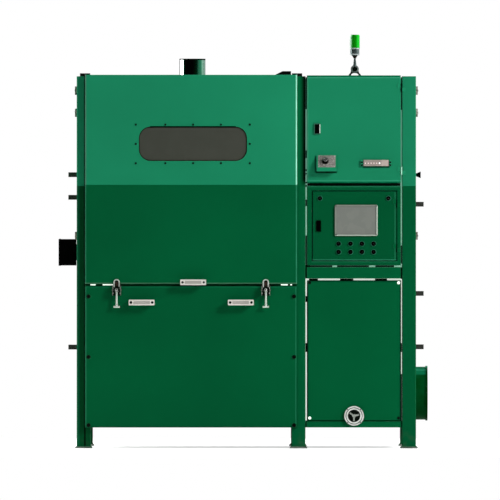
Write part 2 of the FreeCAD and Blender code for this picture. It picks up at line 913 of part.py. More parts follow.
def beacon_bracket():
    """The foot of the beacon: a base plate, two slanting legs and a round head."""
    y0 = beacon_y + beacon_disc_thick / 2
    plate = block(
        beacon_x - beacon_foot_half, beacon_x + beacon_foot_half, beacon_y - 25, beacon_y + 35,
        roof_top, roof_top + 5,
    )
    bracket = plate
    for side in (-1, 1):
        foot = beacon_x + side * beacon_foot_half
        tip = beacon_x + side * beacon_disc * 0.8
        bracket = bracket.fuse(prism(
            [
                (foot, y0, roof_top), (foot - side * beacon_leg, y0, roof_top),
                (tip - side * beacon_leg, y0, beacon_pivot_high), (tip, y0, beacon_pivot_high),
            ],
            (0, beacon_disc_thick, 0),
        ))
    head = turned((beacon_x, y0, beacon_pivot_high), (0, 1, 0), beacon_disc_thick, beacon_disc)
    return [bracket.fuse(head).removeSplitter()]


def beacon_stem():
    """The swinging half: a disc beside the bracket, the stem and the cup under the lens."""
    y0 = beacon_y - beacon_disc_thick / 2
    disc = turned(
        (beacon_x, y0, beacon_pivot_high), (0, 1, 0), beacon_disc_thick - shaft_gap, beacon_disc,
    )
    stem = turned(
        (beacon_x, beacon_y, beacon_pivot_high + beacon_disc - 4), (0, 0, 1),
        beacon_cup_low - beacon_pivot_high - beacon_disc + 5, beacon_stem_radius,
    )
    stem = stem.cut(block(
        beacon_x - 20, beacon_x + 20, beacon_y + beacon_disc_thick / 2 - shaft_gap, beacon_y + 20,
        beacon_pivot_high, beacon_pivot_high + beacon_disc + 5,
    ))
    cup = turned(
        (beacon_x, beacon_y, beacon_cup_low), (0, 0, 1), beacon_lens_low - beacon_cup_low,
        beacon_cup_radius, 32,
    )
    return [disc.fuse(stem).fuse(cup).removeSplitter()]


def beacon_lens():
    """The round lens, its top edge drawn in by two cones and a flat crown."""
    profile = [(0, beacon_lens_low), (beacon_lens_radius, beacon_lens_low)]
    for inward, downward in lens_crown:
        profile.append((beacon_lens_radius - inward, beacon_high - downward))
    profile.append((0, beacon_high))
    corners = [Vector(beacon_x + r, beacon_y, z) for r, z in profile]
    half = Part.Face(Part.makePolygon(corners + corners[:1]))
    return [half.revolve(Vector(beacon_x, beacon_y, 0), Vector(0, 0, 1), 360)]


def side_handle(side, z, proud):
    """A bridge handle lying along the side, two feet and a grip."""
    face = left_face + rail_inset - sheet if side == "left" else right_face - rail_inset + sheet
    out = -1 if side == "left" else 1
    panel_back = rail_inset - sheet
    tip = face + out * (proud + panel_back)
    x0, x1 = sorted((face, tip))
    z0, z1 = z - side_handle_high / 2, z + side_handle_high / 2
    y0, y1 = side_handle_y, side_handle_y + handle_long
    body = block(x0, x1, y0, y1, z0, z1)
    gap0, gap1 = sorted((face - out, tip - out * handle_plate))
    gap = block(gap0, gap1, y0 + handle_foot, y1 - handle_foot, z0 - 1, z1 + 1)
    return body.cut(gap)


def side_handles():
    """The handles of both sides, seen edge-on from the front."""
    left = [side_handle("left", z, left_handle_proud) for z in left_handle_levels]
    right = [side_handle("right", z, right_handle_proud) for z in right_handle_levels]
    return left + right


def side_plates():
    """Small plates near the front of both sides, which clamp the panels to the posts."""
    plates = []
    panel_back = rail_inset - sheet
    y0 = front_face + post_side + 12
    for z0, z1 in side_plate_levels:
        left = left_face + panel_back
        right = right_face - panel_back
        deep = side_plate_proud + panel_back
        plates.append(block(left - deep, left, y0, y0 + side_plate_long, z0, z1))
        plates.append(block(right, right + deep, y0, y0 + side_plate_long, z0, z1))
    return plates


def wing_knob():
    """A clamp knob with two wings on the right side."""
    face = right_face - rail_inset + sheet
    hub_long = wing_proud + rail_inset - sheet
    hub = turned((face, wing_y, wing_z), (1, 0, 0), hub_long, 9)
    wings = prism(
        [
            (face + 8, wing_y - 4, wing_z - 9), (face + hub_long, wing_y - 4, wing_z - wing_half),
            (face + hub_long, wing_y - 4, wing_z + wing_half), (face + 8, wing_y - 4, wing_z + 9),
        ],
        (0, 8, 0),
    )
    return [hub.fuse(wings).removeSplitter()]


def junction_box():
    """The black terminal box on the left side, on two short mounting lugs."""
    panel = left_face + rail_inset - sheet
    x1 = left_face - junction_gap
    box = block(
        left_face - junction_reach, x1, junction_front, junction_front + junction_long,
        junction_low, junction_high,
    )
    for y in (junction_front + 20, junction_front + junction_long - 50):
        lug = block(x1, panel, y, y + 30, junction_low + 30, junction_high - 30)
        box = box.fuse(lug)
    return [box.removeSplitter()]


def round_guard():
    """The round guard on the right side, with a rim at its outer face."""
    face = right_face - rail_inset + sheet
    deep = guard_deep + rail_inset - sheet
    drum = turned((face, 0, guard_z), (1, 0, 0), deep, guard_radius - guard_lip, 72)
    rim = turned((face + deep - guard_rim, 0, guard_z), (1, 0, 0), guard_rim, guard_radius, 72)
    return [drum.fuse(rim).removeSplitter()]


def hexagon(x, radius):
    """Corners of the barrel's cross section at one end."""
    return [
        (
            x,
            radius * math.cos(2 * math.pi * k / barrel_sides),
            barrel_high + radius * math.sin(2 * math.pi * k / barrel_sides),
        )
        for k in range(barrel_sides)
    ]


def grinding_barrel():
    """The six-sided barrel, a closed shell on its shaft."""
    long = barrel_right - barrel_left
    outer = prism(hexagon(barrel_left, barrel_radius), (long, 0, 0))
    inner = prism(
        hexagon(barrel_left + barrel_wall, barrel_radius - barrel_wall), (long - 2 * barrel_wall, 0, 0),
    )
    bore = rod((barrel_left - 1, 0, barrel_high), (1, 0, 0), long + 2, shaft_radius)
    return [outer.cut(inner).cut(bore)]


def barrel_shaft():
    """The shaft through the barrel, from the left bearing to past the right one."""
    x0 = left_face + rail_inset + 4
    x1 = mid_post_right + shaft_reach
    return [rod((x0, 0, barrel_high), (1, 0, 0), x1 - x0, shaft_radius)]


def barrel_bearings():
    """Two pillow blocks on the middle side rails."""
    blocks = []
    for rail_x in (left_face + rail_inset, mid_post_left):
        x0 = rail_x + (rail_deep - bearing_thick) / 2
        foot = block(
            x0, x0 + bearing_thick, -bearing_long / 2, bearing_long / 2, mid_rail_high,
            mid_rail_high + 22,
        )
        neck = block(
            x0, x0 + bearing_thick, -bearing_ring, bearing_ring, mid_rail_high, barrel_high,
        )
        ring = rod((x0, 0, barrel_high), (1, 0, 0), bearing_thick, bearing_ring)
        bore = rod(
            (x0 - 1, 0, barrel_high), (1, 0, 0), bearing_thick + 2, shaft_radius + shaft_gap,
        )
        blocks.append(foot.fuse(neck).fuse(ring).removeSplitter().cut(bore))
    return blocks


def cabinet_shelf():
    """The floor between the control cabinet and the drive bay, on the rails."""
    return [block(
        mid_post_right, right_face - post_side, bay_rail_face + rail_deep - bay_pan, 0,
        mid_rail_high, mid_rail_high + sheet,
    )]


def cabinet_backplate():
    """The mounting plate for the electrics, standing on the shelf up to the roof."""
    return [block(
        mid_post_right + 30, right_face - post_side - 30, backplate_y,
        backplate_y + backplate_thick, mid_rail_high + sheet, top_rail_high,
    )]


nodes = {
    "frame_posts": frame_posts(),
    "foot_plates": foot_plates(),
    "front_rails": front_rails(),
    "bay_stiles": bay_stiles(),
    "rear_rails": rear_rails(),
    "side_rails": side_rails(),
    "roof_sheet": roof_sheet(),
    "exhaust_duct": exhaust_duct(),
    "left_side_panels": side_panels("left"),
    "right_side_panels": side_panels("right"),
    "rear_panels": rear_panels(),
    "partition_wall": partition_wall(),
    "chamber_tray": chamber_tray(),
    "seal_strips": seal_strips(),
    "bay_covers": bay_covers(),
    "front_hood": front_hood(),
    "window_pane": window_pane(),
    "window_frame": window_frame(),
    "hood_hinge_leaves": hood_hinge_leaves(),
    "hood_hinge_brackets": hood_hinge_brackets(),
    "hood_stop": hood_stop(),
    "hood_handle": hood_handle(),
    "latch_bodies": latch_bodies(),
    "latch_lever_left": latch_lever(latch_left),
    "latch_lever_right": latch_lever(latch_right),
    "latch_strikes": latch_strikes(),
    "lower_door": lower_door(),
    "lower_door_handles": lower_door_handles(),
    "cabinet_door": cabinet_door(),
    "cabinet_door_leaves": cabinet_door_leaves(),
    "cabinet_door_lock": cabinet_door_lock(),
    "switch_console": switch_console(),
    "selector_knob": selector_knob(),
    "indicator_strip": indicator_strip(),
    "door_hinges_fixed": door_hinges_fixed(),
    "control_surround": control_surround(),
    "control_door": control_door(),
    "control_door_leaves": control_door_leaves(),
    "control_screen": control_screen(),
    "push_buttons": push_buttons(),
    "control_locks": control_locks(),
    "service_panel": service_panel(),
    "drain_fitting": drain_fitting(),
    "drain_handle": drain_handle(),
    "beacon_bracket": beacon_bracket(),
    "beacon_stem": beacon_stem(),
    "beacon_lens": beacon_lens(),
    "side_handles": side_handles(),
    "side_plates": side_plates(),
    "wing_knob": wing_knob(),
    "junction_box": junction_box(),
    "round_guard": round_guard(),
    "grinding_barrel": grinding_barrel(),
    "barrel_shaft": barrel_shaft(),
    "barrel_bearings": barrel_bearings(),
    "cabinet_shelf": cabinet_shelf(),
    "cabinet_backplate": cabinet_backplate(),
}

# The origin goes under the middle of the footprint box of all pieces
front_reach = max(
    hood_proud + handle_proud,
    hood_proud + latch_cheek_proud,
)
left_reach = frame_width / 2 + junction_reach
right_reach = frame_width / 2 + guard_deep
rear_reach = frame_depth / 2 + (foot_side - post_side) / 2
shift = Vector(
    (left_reach - right_reach) / 2,
    (frame_depth / 2 + front_reach - rear_reach) / 2,
    0,
)

os.makedirs("parts", exist_ok=True)
for name, solids in nodes.items():
    shape = solids[0] if len(solids) == 1 else Part.makeCompound(solids)
    shape.translate(shift)
    shape.exportStep(f"parts/{name}.step")
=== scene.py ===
import math

import bpy
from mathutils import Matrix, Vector


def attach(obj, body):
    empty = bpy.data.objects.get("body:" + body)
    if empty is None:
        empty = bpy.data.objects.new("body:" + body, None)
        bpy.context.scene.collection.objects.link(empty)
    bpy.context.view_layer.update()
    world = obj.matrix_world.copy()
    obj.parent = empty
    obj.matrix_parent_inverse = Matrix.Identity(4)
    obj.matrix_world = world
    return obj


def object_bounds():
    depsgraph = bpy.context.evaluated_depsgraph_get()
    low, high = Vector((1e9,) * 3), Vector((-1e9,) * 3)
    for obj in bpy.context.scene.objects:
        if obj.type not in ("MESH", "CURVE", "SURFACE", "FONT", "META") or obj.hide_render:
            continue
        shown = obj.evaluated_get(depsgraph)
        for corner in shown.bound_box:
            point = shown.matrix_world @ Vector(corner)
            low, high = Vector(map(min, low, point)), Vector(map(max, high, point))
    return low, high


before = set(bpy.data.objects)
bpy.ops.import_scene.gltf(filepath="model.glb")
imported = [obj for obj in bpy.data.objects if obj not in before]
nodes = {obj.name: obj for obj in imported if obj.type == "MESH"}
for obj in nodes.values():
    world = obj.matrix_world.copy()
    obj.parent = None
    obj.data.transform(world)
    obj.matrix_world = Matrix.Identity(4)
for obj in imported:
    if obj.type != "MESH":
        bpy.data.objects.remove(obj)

cad_low, cad_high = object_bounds()

# Camera
# A straight front view from far away, as a long lens gives it. The picture is 2.85 m wide at the
# front of the machine, and its middle lies a little right of the machine's own.
picture_wide = 2.85
lens_mm = 1200.0
sensor_mm = 36.0
picture_middle = Vector((0.0378, cad_low.y + 0.09, 1.1315))

camera_data = bpy.data.cameras.new("camera")
camera_data.lens = lens_mm
camera_data.sensor_width = sensor_mm
camera_data.clip_start = 1.0
camera_data.clip_end = 400.0
camera = bpy.data.objects.new("camera", camera_data)
camera.location = picture_middle - Vector((0, picture_wide * lens_mm / sensor_mm, 0))
camera.rotation_euler = (math.radians(90), 0, 0)
bpy.context.scene.collection.objects.link(camera)
bpy.context.scene.camera = camera

# Studio
# A pale floor that keeps the shadow and a white background. The key light stands to the upper
# right, with a small glint beside it; a weak fill, two side walls and a soft light overhead follow.
bpy.context.scene.view_settings.view_transform = "Standard"
white = (1, 1, 1, 1)
floor_half = 4.5
floor_glow = 0.62
world_behind = 0.55
world_front = 0.03


def add_node(tree, kind, inputs=None, **settings):
    """A shader node with its settings, its constants and its links."""
    node = tree.nodes.new(kind)
    for key, value in settings.items():
        setattr(node, key, value)
    for key, value in (inputs or {}).items():
        if isinstance(value, bpy.types.NodeSocket):
            tree.links.new(value, node.inputs[key])
        else:
            node.inputs[key].default_value = value
    return node


def reckon(tree, operation, one, two=0.0):
    """A number worked out from one or two others."""
    return add_node(tree, "ShaderNodeMath", {0: one, 1: two}, operation=operation).outputs[0]


def multiply(tree, product, *others):
    """The product of several numbers."""
    for other in others:
        product = reckon(tree, "MULTIPLY", product, other)
    return product


def remap(tree, value, low, high, new_low=0.0, new_high=1.0):
    """A number stretched from one span to another and kept inside it."""
    return add_node(tree, "ShaderNodeMapRange", {
        "Value": value, "From Min": low, "From Max": high, "To Min": new_low, "To Max": new_high,
    }).outputs[0]


def spaced(values):
    """The same values with the underscores of their labels turned into spaces."""
    return {label.replace("_", " "): value for label, value in values.items()}


def feed(tree, sockets, **values):
    """Links values to sockets by their labels."""
    for label, value in spaced(values).items():
        tree.links.new(value, sockets[label])


def new_finish(name, **constants):
    """A material, its tree and its shader's sockets; the constants go on those sockets."""
    material = bpy.data.materials.new(name)
    material.use_nodes = True
    shader = material.node_tree.nodes["Principled BSDF"].inputs
    for label, value in spaced(constants).items():
        shader[label].default_value = value
    return material, material.node_tree, shader


def make_world():
    """White where the camera looks; for all else a dim room, lighter behind the machine."""
    world = bpy.data.worlds.new("studio")
    world.use_nodes = True
    tree = world.node_tree
    tree.nodes.clear()
    rays = add_node(tree, "ShaderNodeLightPath").outputs
    place = add_node(tree, "ShaderNodeTexCoord").outputs["Generated"]
    depth = add_node(tree, "ShaderNodeSeparateXYZ", {"Vector": place}).outputs["Y"]
    room = remap(tree, depth, -0.2, 0.7, world_front, world_behind)
    seen = reckon(tree, "MAXIMUM", rays["Is Camera Ray"], rays["Is Transmission Ray"])
    strength = add_node(tree, "ShaderNodeMix", {"Factor": seen, "A": room, "B": 1.0}).outputs[0]
    light = add_node(tree, "ShaderNodeBackground", {"Color": white, "Strength": strength})
    add_node(tree, "ShaderNodeOutputWorld", {"Surface": light.outputs[0]})
    bpy.context.scene.world = world


def area_light(name, place, aim, size, power, mirrored=True):
    """A rectangular soft light that points at a place; it may be kept out of reflections."""
    data = bpy.data.lights.new(name, "AREA")
    data.shape = "RECTANGLE"
    data.size, data.size_y = size
    data.energy = power
    light = bpy.data.objects.new(name, data)
    light.location = place
    light.rotation_euler = (Vector(aim) - Vector(place)).to_track_quat("-Z", "Y").to_euler()
    light.visible_glossy = mirrored
    bpy.context.scene.collection.objects.link(light)


make_world()
area_light("key", (6.9, -5.9, 5.9), (0.0, -0.6, 1.2), (2.4, 2.4), 805, False)
area_light("key_glint", (4.6, -3.9, 4.2), (0.0, -0.6, 1.2), (1.2, 1.2), 20)
area_light("fill", (-1.0, -7.0, 2.2), (0.0, 0.0, 1.2), (4.0, 3.0), 80, False)
area_light("left_panel", (-3.4, 0.95, 1.7), (-0.3, 0.18, 1.7), (2.2, 3.0), 210)
area_light("right_wall", (3.4, -0.8, 1.6), (0.0, -0.8, 1.6), (4.5, 3.4), 56)
area_light("overhead", (0.0, 0.6, 4.6), (0.0, 0.0, 0.0), (3.0, 3.0), 60)

bpy.ops.mesh.primitive_plane_add(size=2 * floor_half, location=(0, 0, 0))
floor = bpy.context.object
floor.name = "floor"
floor_finish, floor_tree, floor_shader = new_finish(
    "white_floor", Base_Color=white, Roughness=0.9, Specular_IOR_Level=0.0, Emission_Color=white,
)
floor_rays = add_node(floor_tree, "ShaderNodeLightPath").outputs
feed(
    floor_tree, floor_shader,
    Emission_Strength=multiply(floor_tree, floor_rays["Is Camera Ray"], floor_glow),
)
floor.data.materials.append(floor_finish)

# Painted sheet and tube
# Posts, rails, panels, doors and hood are mild steel, sprayed in two greens that meet 1.5 m above
# the floor. The film has a fine orange peel, thins on bends, where a painted highlight lightens it,
# and dusts near the feet.
upper_green = (0.010, 0.212, 0.100, 1)
lower_green = (0.0006, 0.086, 0.028, 1)
dust_colour = (0.10, 0.11, 0.085, 1)
thin_paint_and_highlight = (0.16, 0.36, 0.25, 1)
two_tone_height = 1.4965
paint_gloss = {"IOR": 1.45, "Specular_IOR_Level": 0.012}
surface = ("Color", "Roughness", "Height")
socket_kinds = {1: "NodeSocketFloat", 3: "NodeSocketVector", 4: "NodeSocketColor"}


def new_group(name, inputs, outputs=surface):
    """A shader node group with named sockets; returns its tree, what it is given and what it makes."""
    tree = bpy.data.node_groups.new(name, "ShaderNodeTree")
    for label, value in inputs.items():
        kind = socket_kinds[len(value) if isinstance(value, tuple) else 1]
        tree.interface.new_socket(label, in_out="INPUT", socket_type=kind).default_value = value
    for label in outputs:
        kind = socket_kinds[4 if label == "Color" else 1]
        tree.interface.new_socket(label, in_out="OUTPUT", socket_type=kind)
    return tree, tree.nodes.new("NodeGroupInput").outputs, tree.nodes.new("NodeGroupOutput").inputs


def use_effect(tree, group, **values):
    """Places a shared effect with its values; returns what it makes."""
    return add_node(tree, "ShaderNodeGroup", spaced(values), node_tree=group).outputs


def own_place(tree):
    """The piece's own coordinates, whole and split."""
    place = add_node(tree, "ShaderNodeTexCoord").outputs["Object"]
    return place, add_node(tree, "ShaderNodeSeparateXYZ", {"Vector": place}).outputs


def noise(tree, place, scale, detail=2.0, stretch=None):
    """A noise pattern over the piece's own coordinates; its value is near 0.5."""
    if stretch:
        place = add_node(tree, "ShaderNodeMapping", {"Vector": place, "Scale": stretch}).outputs[0]
    return add_node(
        tree, "ShaderNodeTexNoise", {"Vector": place, "Scale": scale, "Detail": detail},
    ).outputs["Fac"]


def reckon_vector(tree, operation, one, two=(0.0, 0.0, 0.0)):
    """A vector worked out from one or two others, or a number where the operation gives one."""
    made = add_node(tree, "ShaderNodeVectorMath", {0: one, 1: two}, operation=operation).outputs
    return made["Value" if operation in ("LENGTH", "DOT_PRODUCT") else "Vector"]


def dim(tree, colour, factor):
    """A colour made lighter or darker by a factor."""
    return add_node(
        tree, "ShaderNodeVectorMath", {0: colour, "Scale": factor}, operation="SCALE",
    ).outputs[0]


def tinted(tree, colour, *layers):
    """A colour with others laid over it; each layer is a mask and a colour."""
    for mask, tint in layers:
        mix = add_node(tree, "ShaderNodeMix", {0: mask}, data_type="RGBA", blend_type="MIX")
        for socket, value in ((mix.inputs[6], colour), (mix.inputs[7], tint)):
            if isinstance(value, bpy.types.NodeSocket):
                tree.links.new(value, socket)
            else:
                socket.default_value = value
        colour = mix.outputs[2]
    return colour


def make_edge_wear_and_sheen():
    """Shared effect: where a piece's edges are, broken up by noise."""
    tree, given, made = new_group("edge_wear_and_sheen", {"Width": 0.003, "Breaks": 40.0}, ("Mask",))
    rounded = add_node(tree, "ShaderNodeBevel", {"Radius": given["Width"]}, samples=3).outputs[0]
    true = add_node(tree, "ShaderNodeNewGeometry").outputs["Normal"]
    edge = remap(tree, reckon_vector(tree, "DOT_PRODUCT", rounded, true), 0.98, 0.80)
    gaps = remap(tree, noise(tree, own_place(tree)[0], given["Breaks"], 3.0), 0.35, 0.65)
    feed(tree, made, Mask=multiply(tree, edge, gaps))
    return tree


def make_sprayed_paint():
    """Shared effect: two greens meeting at a height, cloudy film, orange peel, dust, scuffs, and edges
    lighter from wear and painted highlight.
    """
    tree, given, made = new_group("sprayed_paint", {
        "Upper Green": upper_green, "Lower Green": lower_green,
        "Meeting Height": two_tone_height, "Roughness": 0.36, "Dust": 0.30,
    })
    place, at = own_place(tree)
    above = reckon(tree, "GREATER_THAN", at["Z"], given["Meeting Height"])
    base = tinted(tree, given["Lower Green"], (above, given["Upper Green"]))
    cloud = remap(tree, noise(tree, place, 1.7, 3.0), 0.3, 0.7, 0.93, 1.07)
    low_down = remap(tree, at["Z"], 0.01, 0.11, 1.0, 0.0)
    specks = remap(tree, noise(tree, place, 26.0, 6.0), 0.45, 0.75)
    worn_and_edge_lit = tinted(
        tree, dim(tree, base, cloud),
        (multiply(tree, low_down, specks, given["Dust"]), dust_colour),
        # Edges take a thinner, lighter paint: partly wear, partly a painted highlight.
        (multiply(tree, use_effect(tree, edge_wear_and_sheen)["Mask"], 0.35), thin_paint_and_highlight),
    )
    scuffs = remap(tree, noise(tree, place, 9.0, 8.0, (1.0, 1.0, 0.18)), 0.60, 0.74)
    rough = reckon(tree, "ADD", given["Roughness"], multiply(tree, scuffs, 0.12))
    feed(tree, made, Color=worn_and_edge_lit, Roughness=rough, Height=noise(tree, place, 330.0, 1.0))
    return tree


def complete(tree, shader, look, colour=None, bump=None, depth=0.0004, **others):
    """Feeds a shader from a shared effect, whose colour may have been changed on the way."""
    colour = look["Color"] if colour is None else colour
    feed(tree, shader, Base_Color=colour, Roughness=look["Roughness"], **others)
    if bump is not None:
        relief = add_node(tree, "ShaderNodeBump", {
            "Height": look["Height"], "Strength": bump, "Distance": depth,
        })
        feed(tree, shader, Normal=relief.outputs[0])


def plain_finish(name, group, bump, depth, constants, **values):
    """A finish that comes straight from one shared effect."""
    material, tree, shader = new_finish(name, **constants)
    complete(tree, shader, use_effect(tree, group, **values), None, bump, depth)
    return material


def dress(material, *names):
    """Gives CAD nodes their finish."""
    for name in names:
        nodes[name].data.materials.clear()
        nodes[name].data.materials.append(material)


edge_wear_and_sheen = make_edge_wear_and_sheen()
sprayed_paint = make_sprayed_paint()
green_paint = plain_finish("green_paint", sprayed_paint, 0.10, 0.0004, paint_gloss, Roughness=0.42)
dress(
    green_paint, "front_rails", "bay_stiles", "rear_rails", "side_rails", "roof_sheet",
    "left_side_panels", "right_side_panels", "rear_panels", "bay_covers", "switch_console",
)

# Bare and plated metal
# Foot plates, tray and barrel are mill steel and the inner walls are zinc plated. Strikes and
# shaft are polished, the handles are cast aluminium, and the clamp plates have lost their paint.
even = (1.0, 1.0, 1.0)


def make_rolled_metal():
    """Shared effect: metal with a grain along one direction, cloudy oxide and bright edges."""
    tree, given, made = new_group("rolled_metal", {
        "Bright": (0.6, 0.6, 0.58, 1), "Dull": (0.3, 0.3, 0.29, 1), "Grain": (1.0, 1.0, 12.0),
        "Grain Scale": 60.0, "Cloud Scale": 6.0, "Roughness": 0.35,
    })
    place = own_place(tree)[0]
    along = reckon_vector(tree, "MULTIPLY", place, given["Grain"])
    grain = noise(tree, along, given["Grain Scale"], 3.0)
    cloud = noise(tree, place, given["Cloud Scale"], 5.0)
    oxide = remap(tree, reckon(tree, "ADD", cloud, grain), 0.8, 1.25)
    rubbed = multiply(tree, use_effect(tree, edge_wear_and_sheen)["Mask"], 0.5)
    colour = tinted(tree, given["Bright"], (oxide, given["Dull"]), (rubbed, given["Bright"]))
    spread = remap(tree, grain, 0.3, 0.7, -0.07, 0.09)
    rough = reckon(tree, "ADD", given["Roughness"], spread)
    feed(tree, made, Color=colour, Roughness=rough, Height=grain)
    return tree


def metal_finish(name, bright, dull, roughness, bump, depth, constants, **values):
    """A finish in rolled or cast metal."""
    return plain_finish(
        name, rolled_metal, bump, depth, constants,
        Bright=(*bright, 1), Dull=(*dull, 1), Roughness=roughness, **values,
    )


rolled_metal = make_rolled_metal()
bare_steel = metal_finish(
    "bare_steel", (0.42, 0.47, 0.42), (0.10, 0.14, 0.11), 0.5, 0.15, 0.0004, {"Metallic": 0.85},
)
zinc_steel = metal_finish(
    "zinc_steel", (0.62, 0.66, 0.62), (0.42, 0.46, 0.43), 0.42, 0.12, 0.0003, {"Metallic": 0.9},
    Cloud_Scale=22.0,
)
bright_steel = metal_finish(
    "bright_steel", (0.80, 0.82, 0.77), (0.44, 0.46, 0.43), 0.26, 0.08, 0.0002,
    {"Metallic": 0.55}, Grain_Scale=160.0,
)
handle_metal = metal_finish(
    "handle_metal", (0.74, 0.72, 0.66), (0.60, 0.58, 0.52), 0.5, 0.10, 0.0002,
    {"Metallic": 0.15}, Grain_Scale=240.0, Grain=even,
)
cast_housing = metal_finish(
    "cast_housing", (0.055, 0.062, 0.06), (0.02, 0.024, 0.023), 0.6, 0.5, 0.0010,
    {"Metallic": 0.3}, Grain=even, Grain_Scale=300.0,
)
dark_metal = metal_finish(
    "dark_metal", (0.006, 0.007, 0.006), (0.0015, 0.002, 0.0015), 0.45, 0.2, 0.0004,
    {"Specular_IOR_Level": 0.03}, Grain=even, Grain_Scale=180.0,
)
beacon_metal = metal_finish(
    "beacon_metal", (0.15, 0.20, 0.195), (0.045, 0.065, 0.062), 0.34, 0.12, 0.0003,
    {"Metallic": 0.7}, Cloud_Scale=30.0,
)
dark_grip = metal_finish(
    "dark_grip", (0.060, 0.060, 0.054), (0.035, 0.035, 0.032), 0.5, 0.10, 0.0002,
    {"Metallic": 0.5, "Specular_IOR_Level": 0.1}, Grain=even,
)
clamp_plate = metal_finish(
    "clamp_plate", (0.46, 0.41, 0.36), (0.020, 0.015, 0.012), 0.5, 0.2, 0.0004,
    {"Metallic": 0.2}, Grain=even, Cloud_Scale=75.0,
)
dress(bare_steel, "foot_plates", "chamber_tray", "grinding_barrel")
dress(zinc_steel, "partition_wall", "cabinet_shelf", "cabinet_backplate")
dress(beacon_metal, "beacon_stem")
dress(bright_steel, "latch_strikes", "barrel_shaft")
dress(handle_metal, "lower_door_handles")
# The side handles take a dark copy of the handle metal as painted shade.
dress(dark_grip, "side_handles")
dress(dark_metal, "window_frame", "hood_hinge_leaves", "hood_hinge_brackets", "hood_stop")
dress(clamp_plate, "side_plates")
dress(cast_housing, "barrel_bearings")

# Plastic, rubber and glass
# Locks, knobs, buttons and the terminal box are black moulded plastic, and the seals are pale
# foam rubber. The pane is smoked sheet, and the screen is grey glass.


def make_moulded_surface():
    """Shared effect: a moulded skin with fine grain and a little unevenness."""
    tree, given, made = new_group("moulded_surface", {
        "Colour": (0.01, 0.01, 0.01, 1), "Pale": (0.03, 0.03, 0.03, 1), "Grain Scale": 500.0,
        "Patch Scale": 14.0, "Patch Strength": 0.5, "Roughness": 0.45,
    })
    place = own_place(tree)[0]
    patches = remap(tree, noise(tree, place, given["Patch Scale"], 4.0), 0.42, 0.75)
    most = reckon(tree, "MAXIMUM", use_effect(tree, edge_wear_and_sheen)["Mask"], patches)
    colour = tinted(
        tree, given["Colour"], (multiply(tree, most, given["Patch Strength"]), given["Pale"]),
    )
    rough = reckon(tree, "ADD", given["Roughness"], multiply(tree, patches, 0.1))
    feed(tree, made, Color=colour, Roughness=rough, Height=noise(tree, place, given["Grain Scale"]))
    return tree


def moulded_finish(name, colour, pale, roughness, bump, depth, constants, **values):
    """A finish in plastic, rubber or glass."""
    return plain_finish(
        name, moulded_surface, bump, depth, constants,
        Colour=(*colour, 1), Pale=(*pale, 1), Roughness=roughness, **values,
    )


def make_pale_seal():
    """Pale foam rubber with a painted glow, brightest beside the lower panel and dimmer higher up, where
    the rubber is also darker.
    """
    material, tree, shader = new_finish("pale_seal", Specular_IOR_Level=0.05, Emission_Strength=0.62)
    skin = use_effect(
        tree, moulded_surface, Colour=(0.72, 0.88, 0.75, 1), Pale=(0.55, 0.72, 0.59, 1),
        Roughness=0.8,
    )
    height = own_place(tree)[1]["Z"]
    painted_glow = tinted(
        tree, (0.92, 1.0, 0.90, 1),
        (remap(tree, height, 0.97, 1.03), (0.22, 0.52, 0.38, 1)),
        (remap(tree, height, 1.48, 1.54), (0.11, 0.32, 0.23, 1)),
    )
    higher_tint = tinted(tree, skin["Color"], (remap(tree, height, 0.97, 1.6), (0.22, 0.38, 0.28, 1)))
    complete(tree, shader, skin, higher_tint, Emission_Color=painted_glow)
    return material


moulded_surface = make_moulded_surface()
black_plastic = moulded_finish(
    "black_plastic", (0.0004, 0.0005, 0.0004), (0.0022, 0.0024, 0.0022), 0.42, 0.15, 0.0003,
    {"Specular_IOR_Level": 0.02},
)
pale_seal = make_pale_seal()
smoked_pane = moulded_finish(
    "smoked_pane", (0.048, 0.052, 0.041), (0.056, 0.060, 0.049), 0.3, 0.02, 0.0002,
    {"Specular_IOR_Level": 0.08}, Grain_Scale=40.0,
)
screen_glass = moulded_finish(
    "screen_glass", (0.158, 0.170, 0.152), (0.182, 0.188, 0.167), 0.25, 0.02, 0.0002,
    {"Specular_IOR_Level": 0.1},
)
dress(
    black_plastic, "cabinet_door_lock", "selector_knob", "push_buttons", "control_locks",
    "wing_knob", "junction_box", "beacon_bracket",
)
# The seal strips carry the pale seal's painted glow.
dress(pale_seal, "seal_strips")
dress(smoked_pane, "window_pane")
dress(screen_glass, "control_screen")

# Posts
# Square tubes, sprayed with the doors. The middle post is dark green up to its top, with painted
# shade beside the upper door; the left post has painted shade and the hood's painted shadow as a line.
shift_x = 0.017
middle_post = (0.257 + shift_x, 0.337 + shift_x)
shade_start, shade_end = 0.304 + shift_x, 0.328 + shift_x
upper_door_foot = 1.509
left_post_end = -0.887 + shift_x
right_post_start = 0.887 + shift_x
hood_shadow = (-0.9262 + shift_x, -0.9150 + shift_x)
no_meeting = 9.0


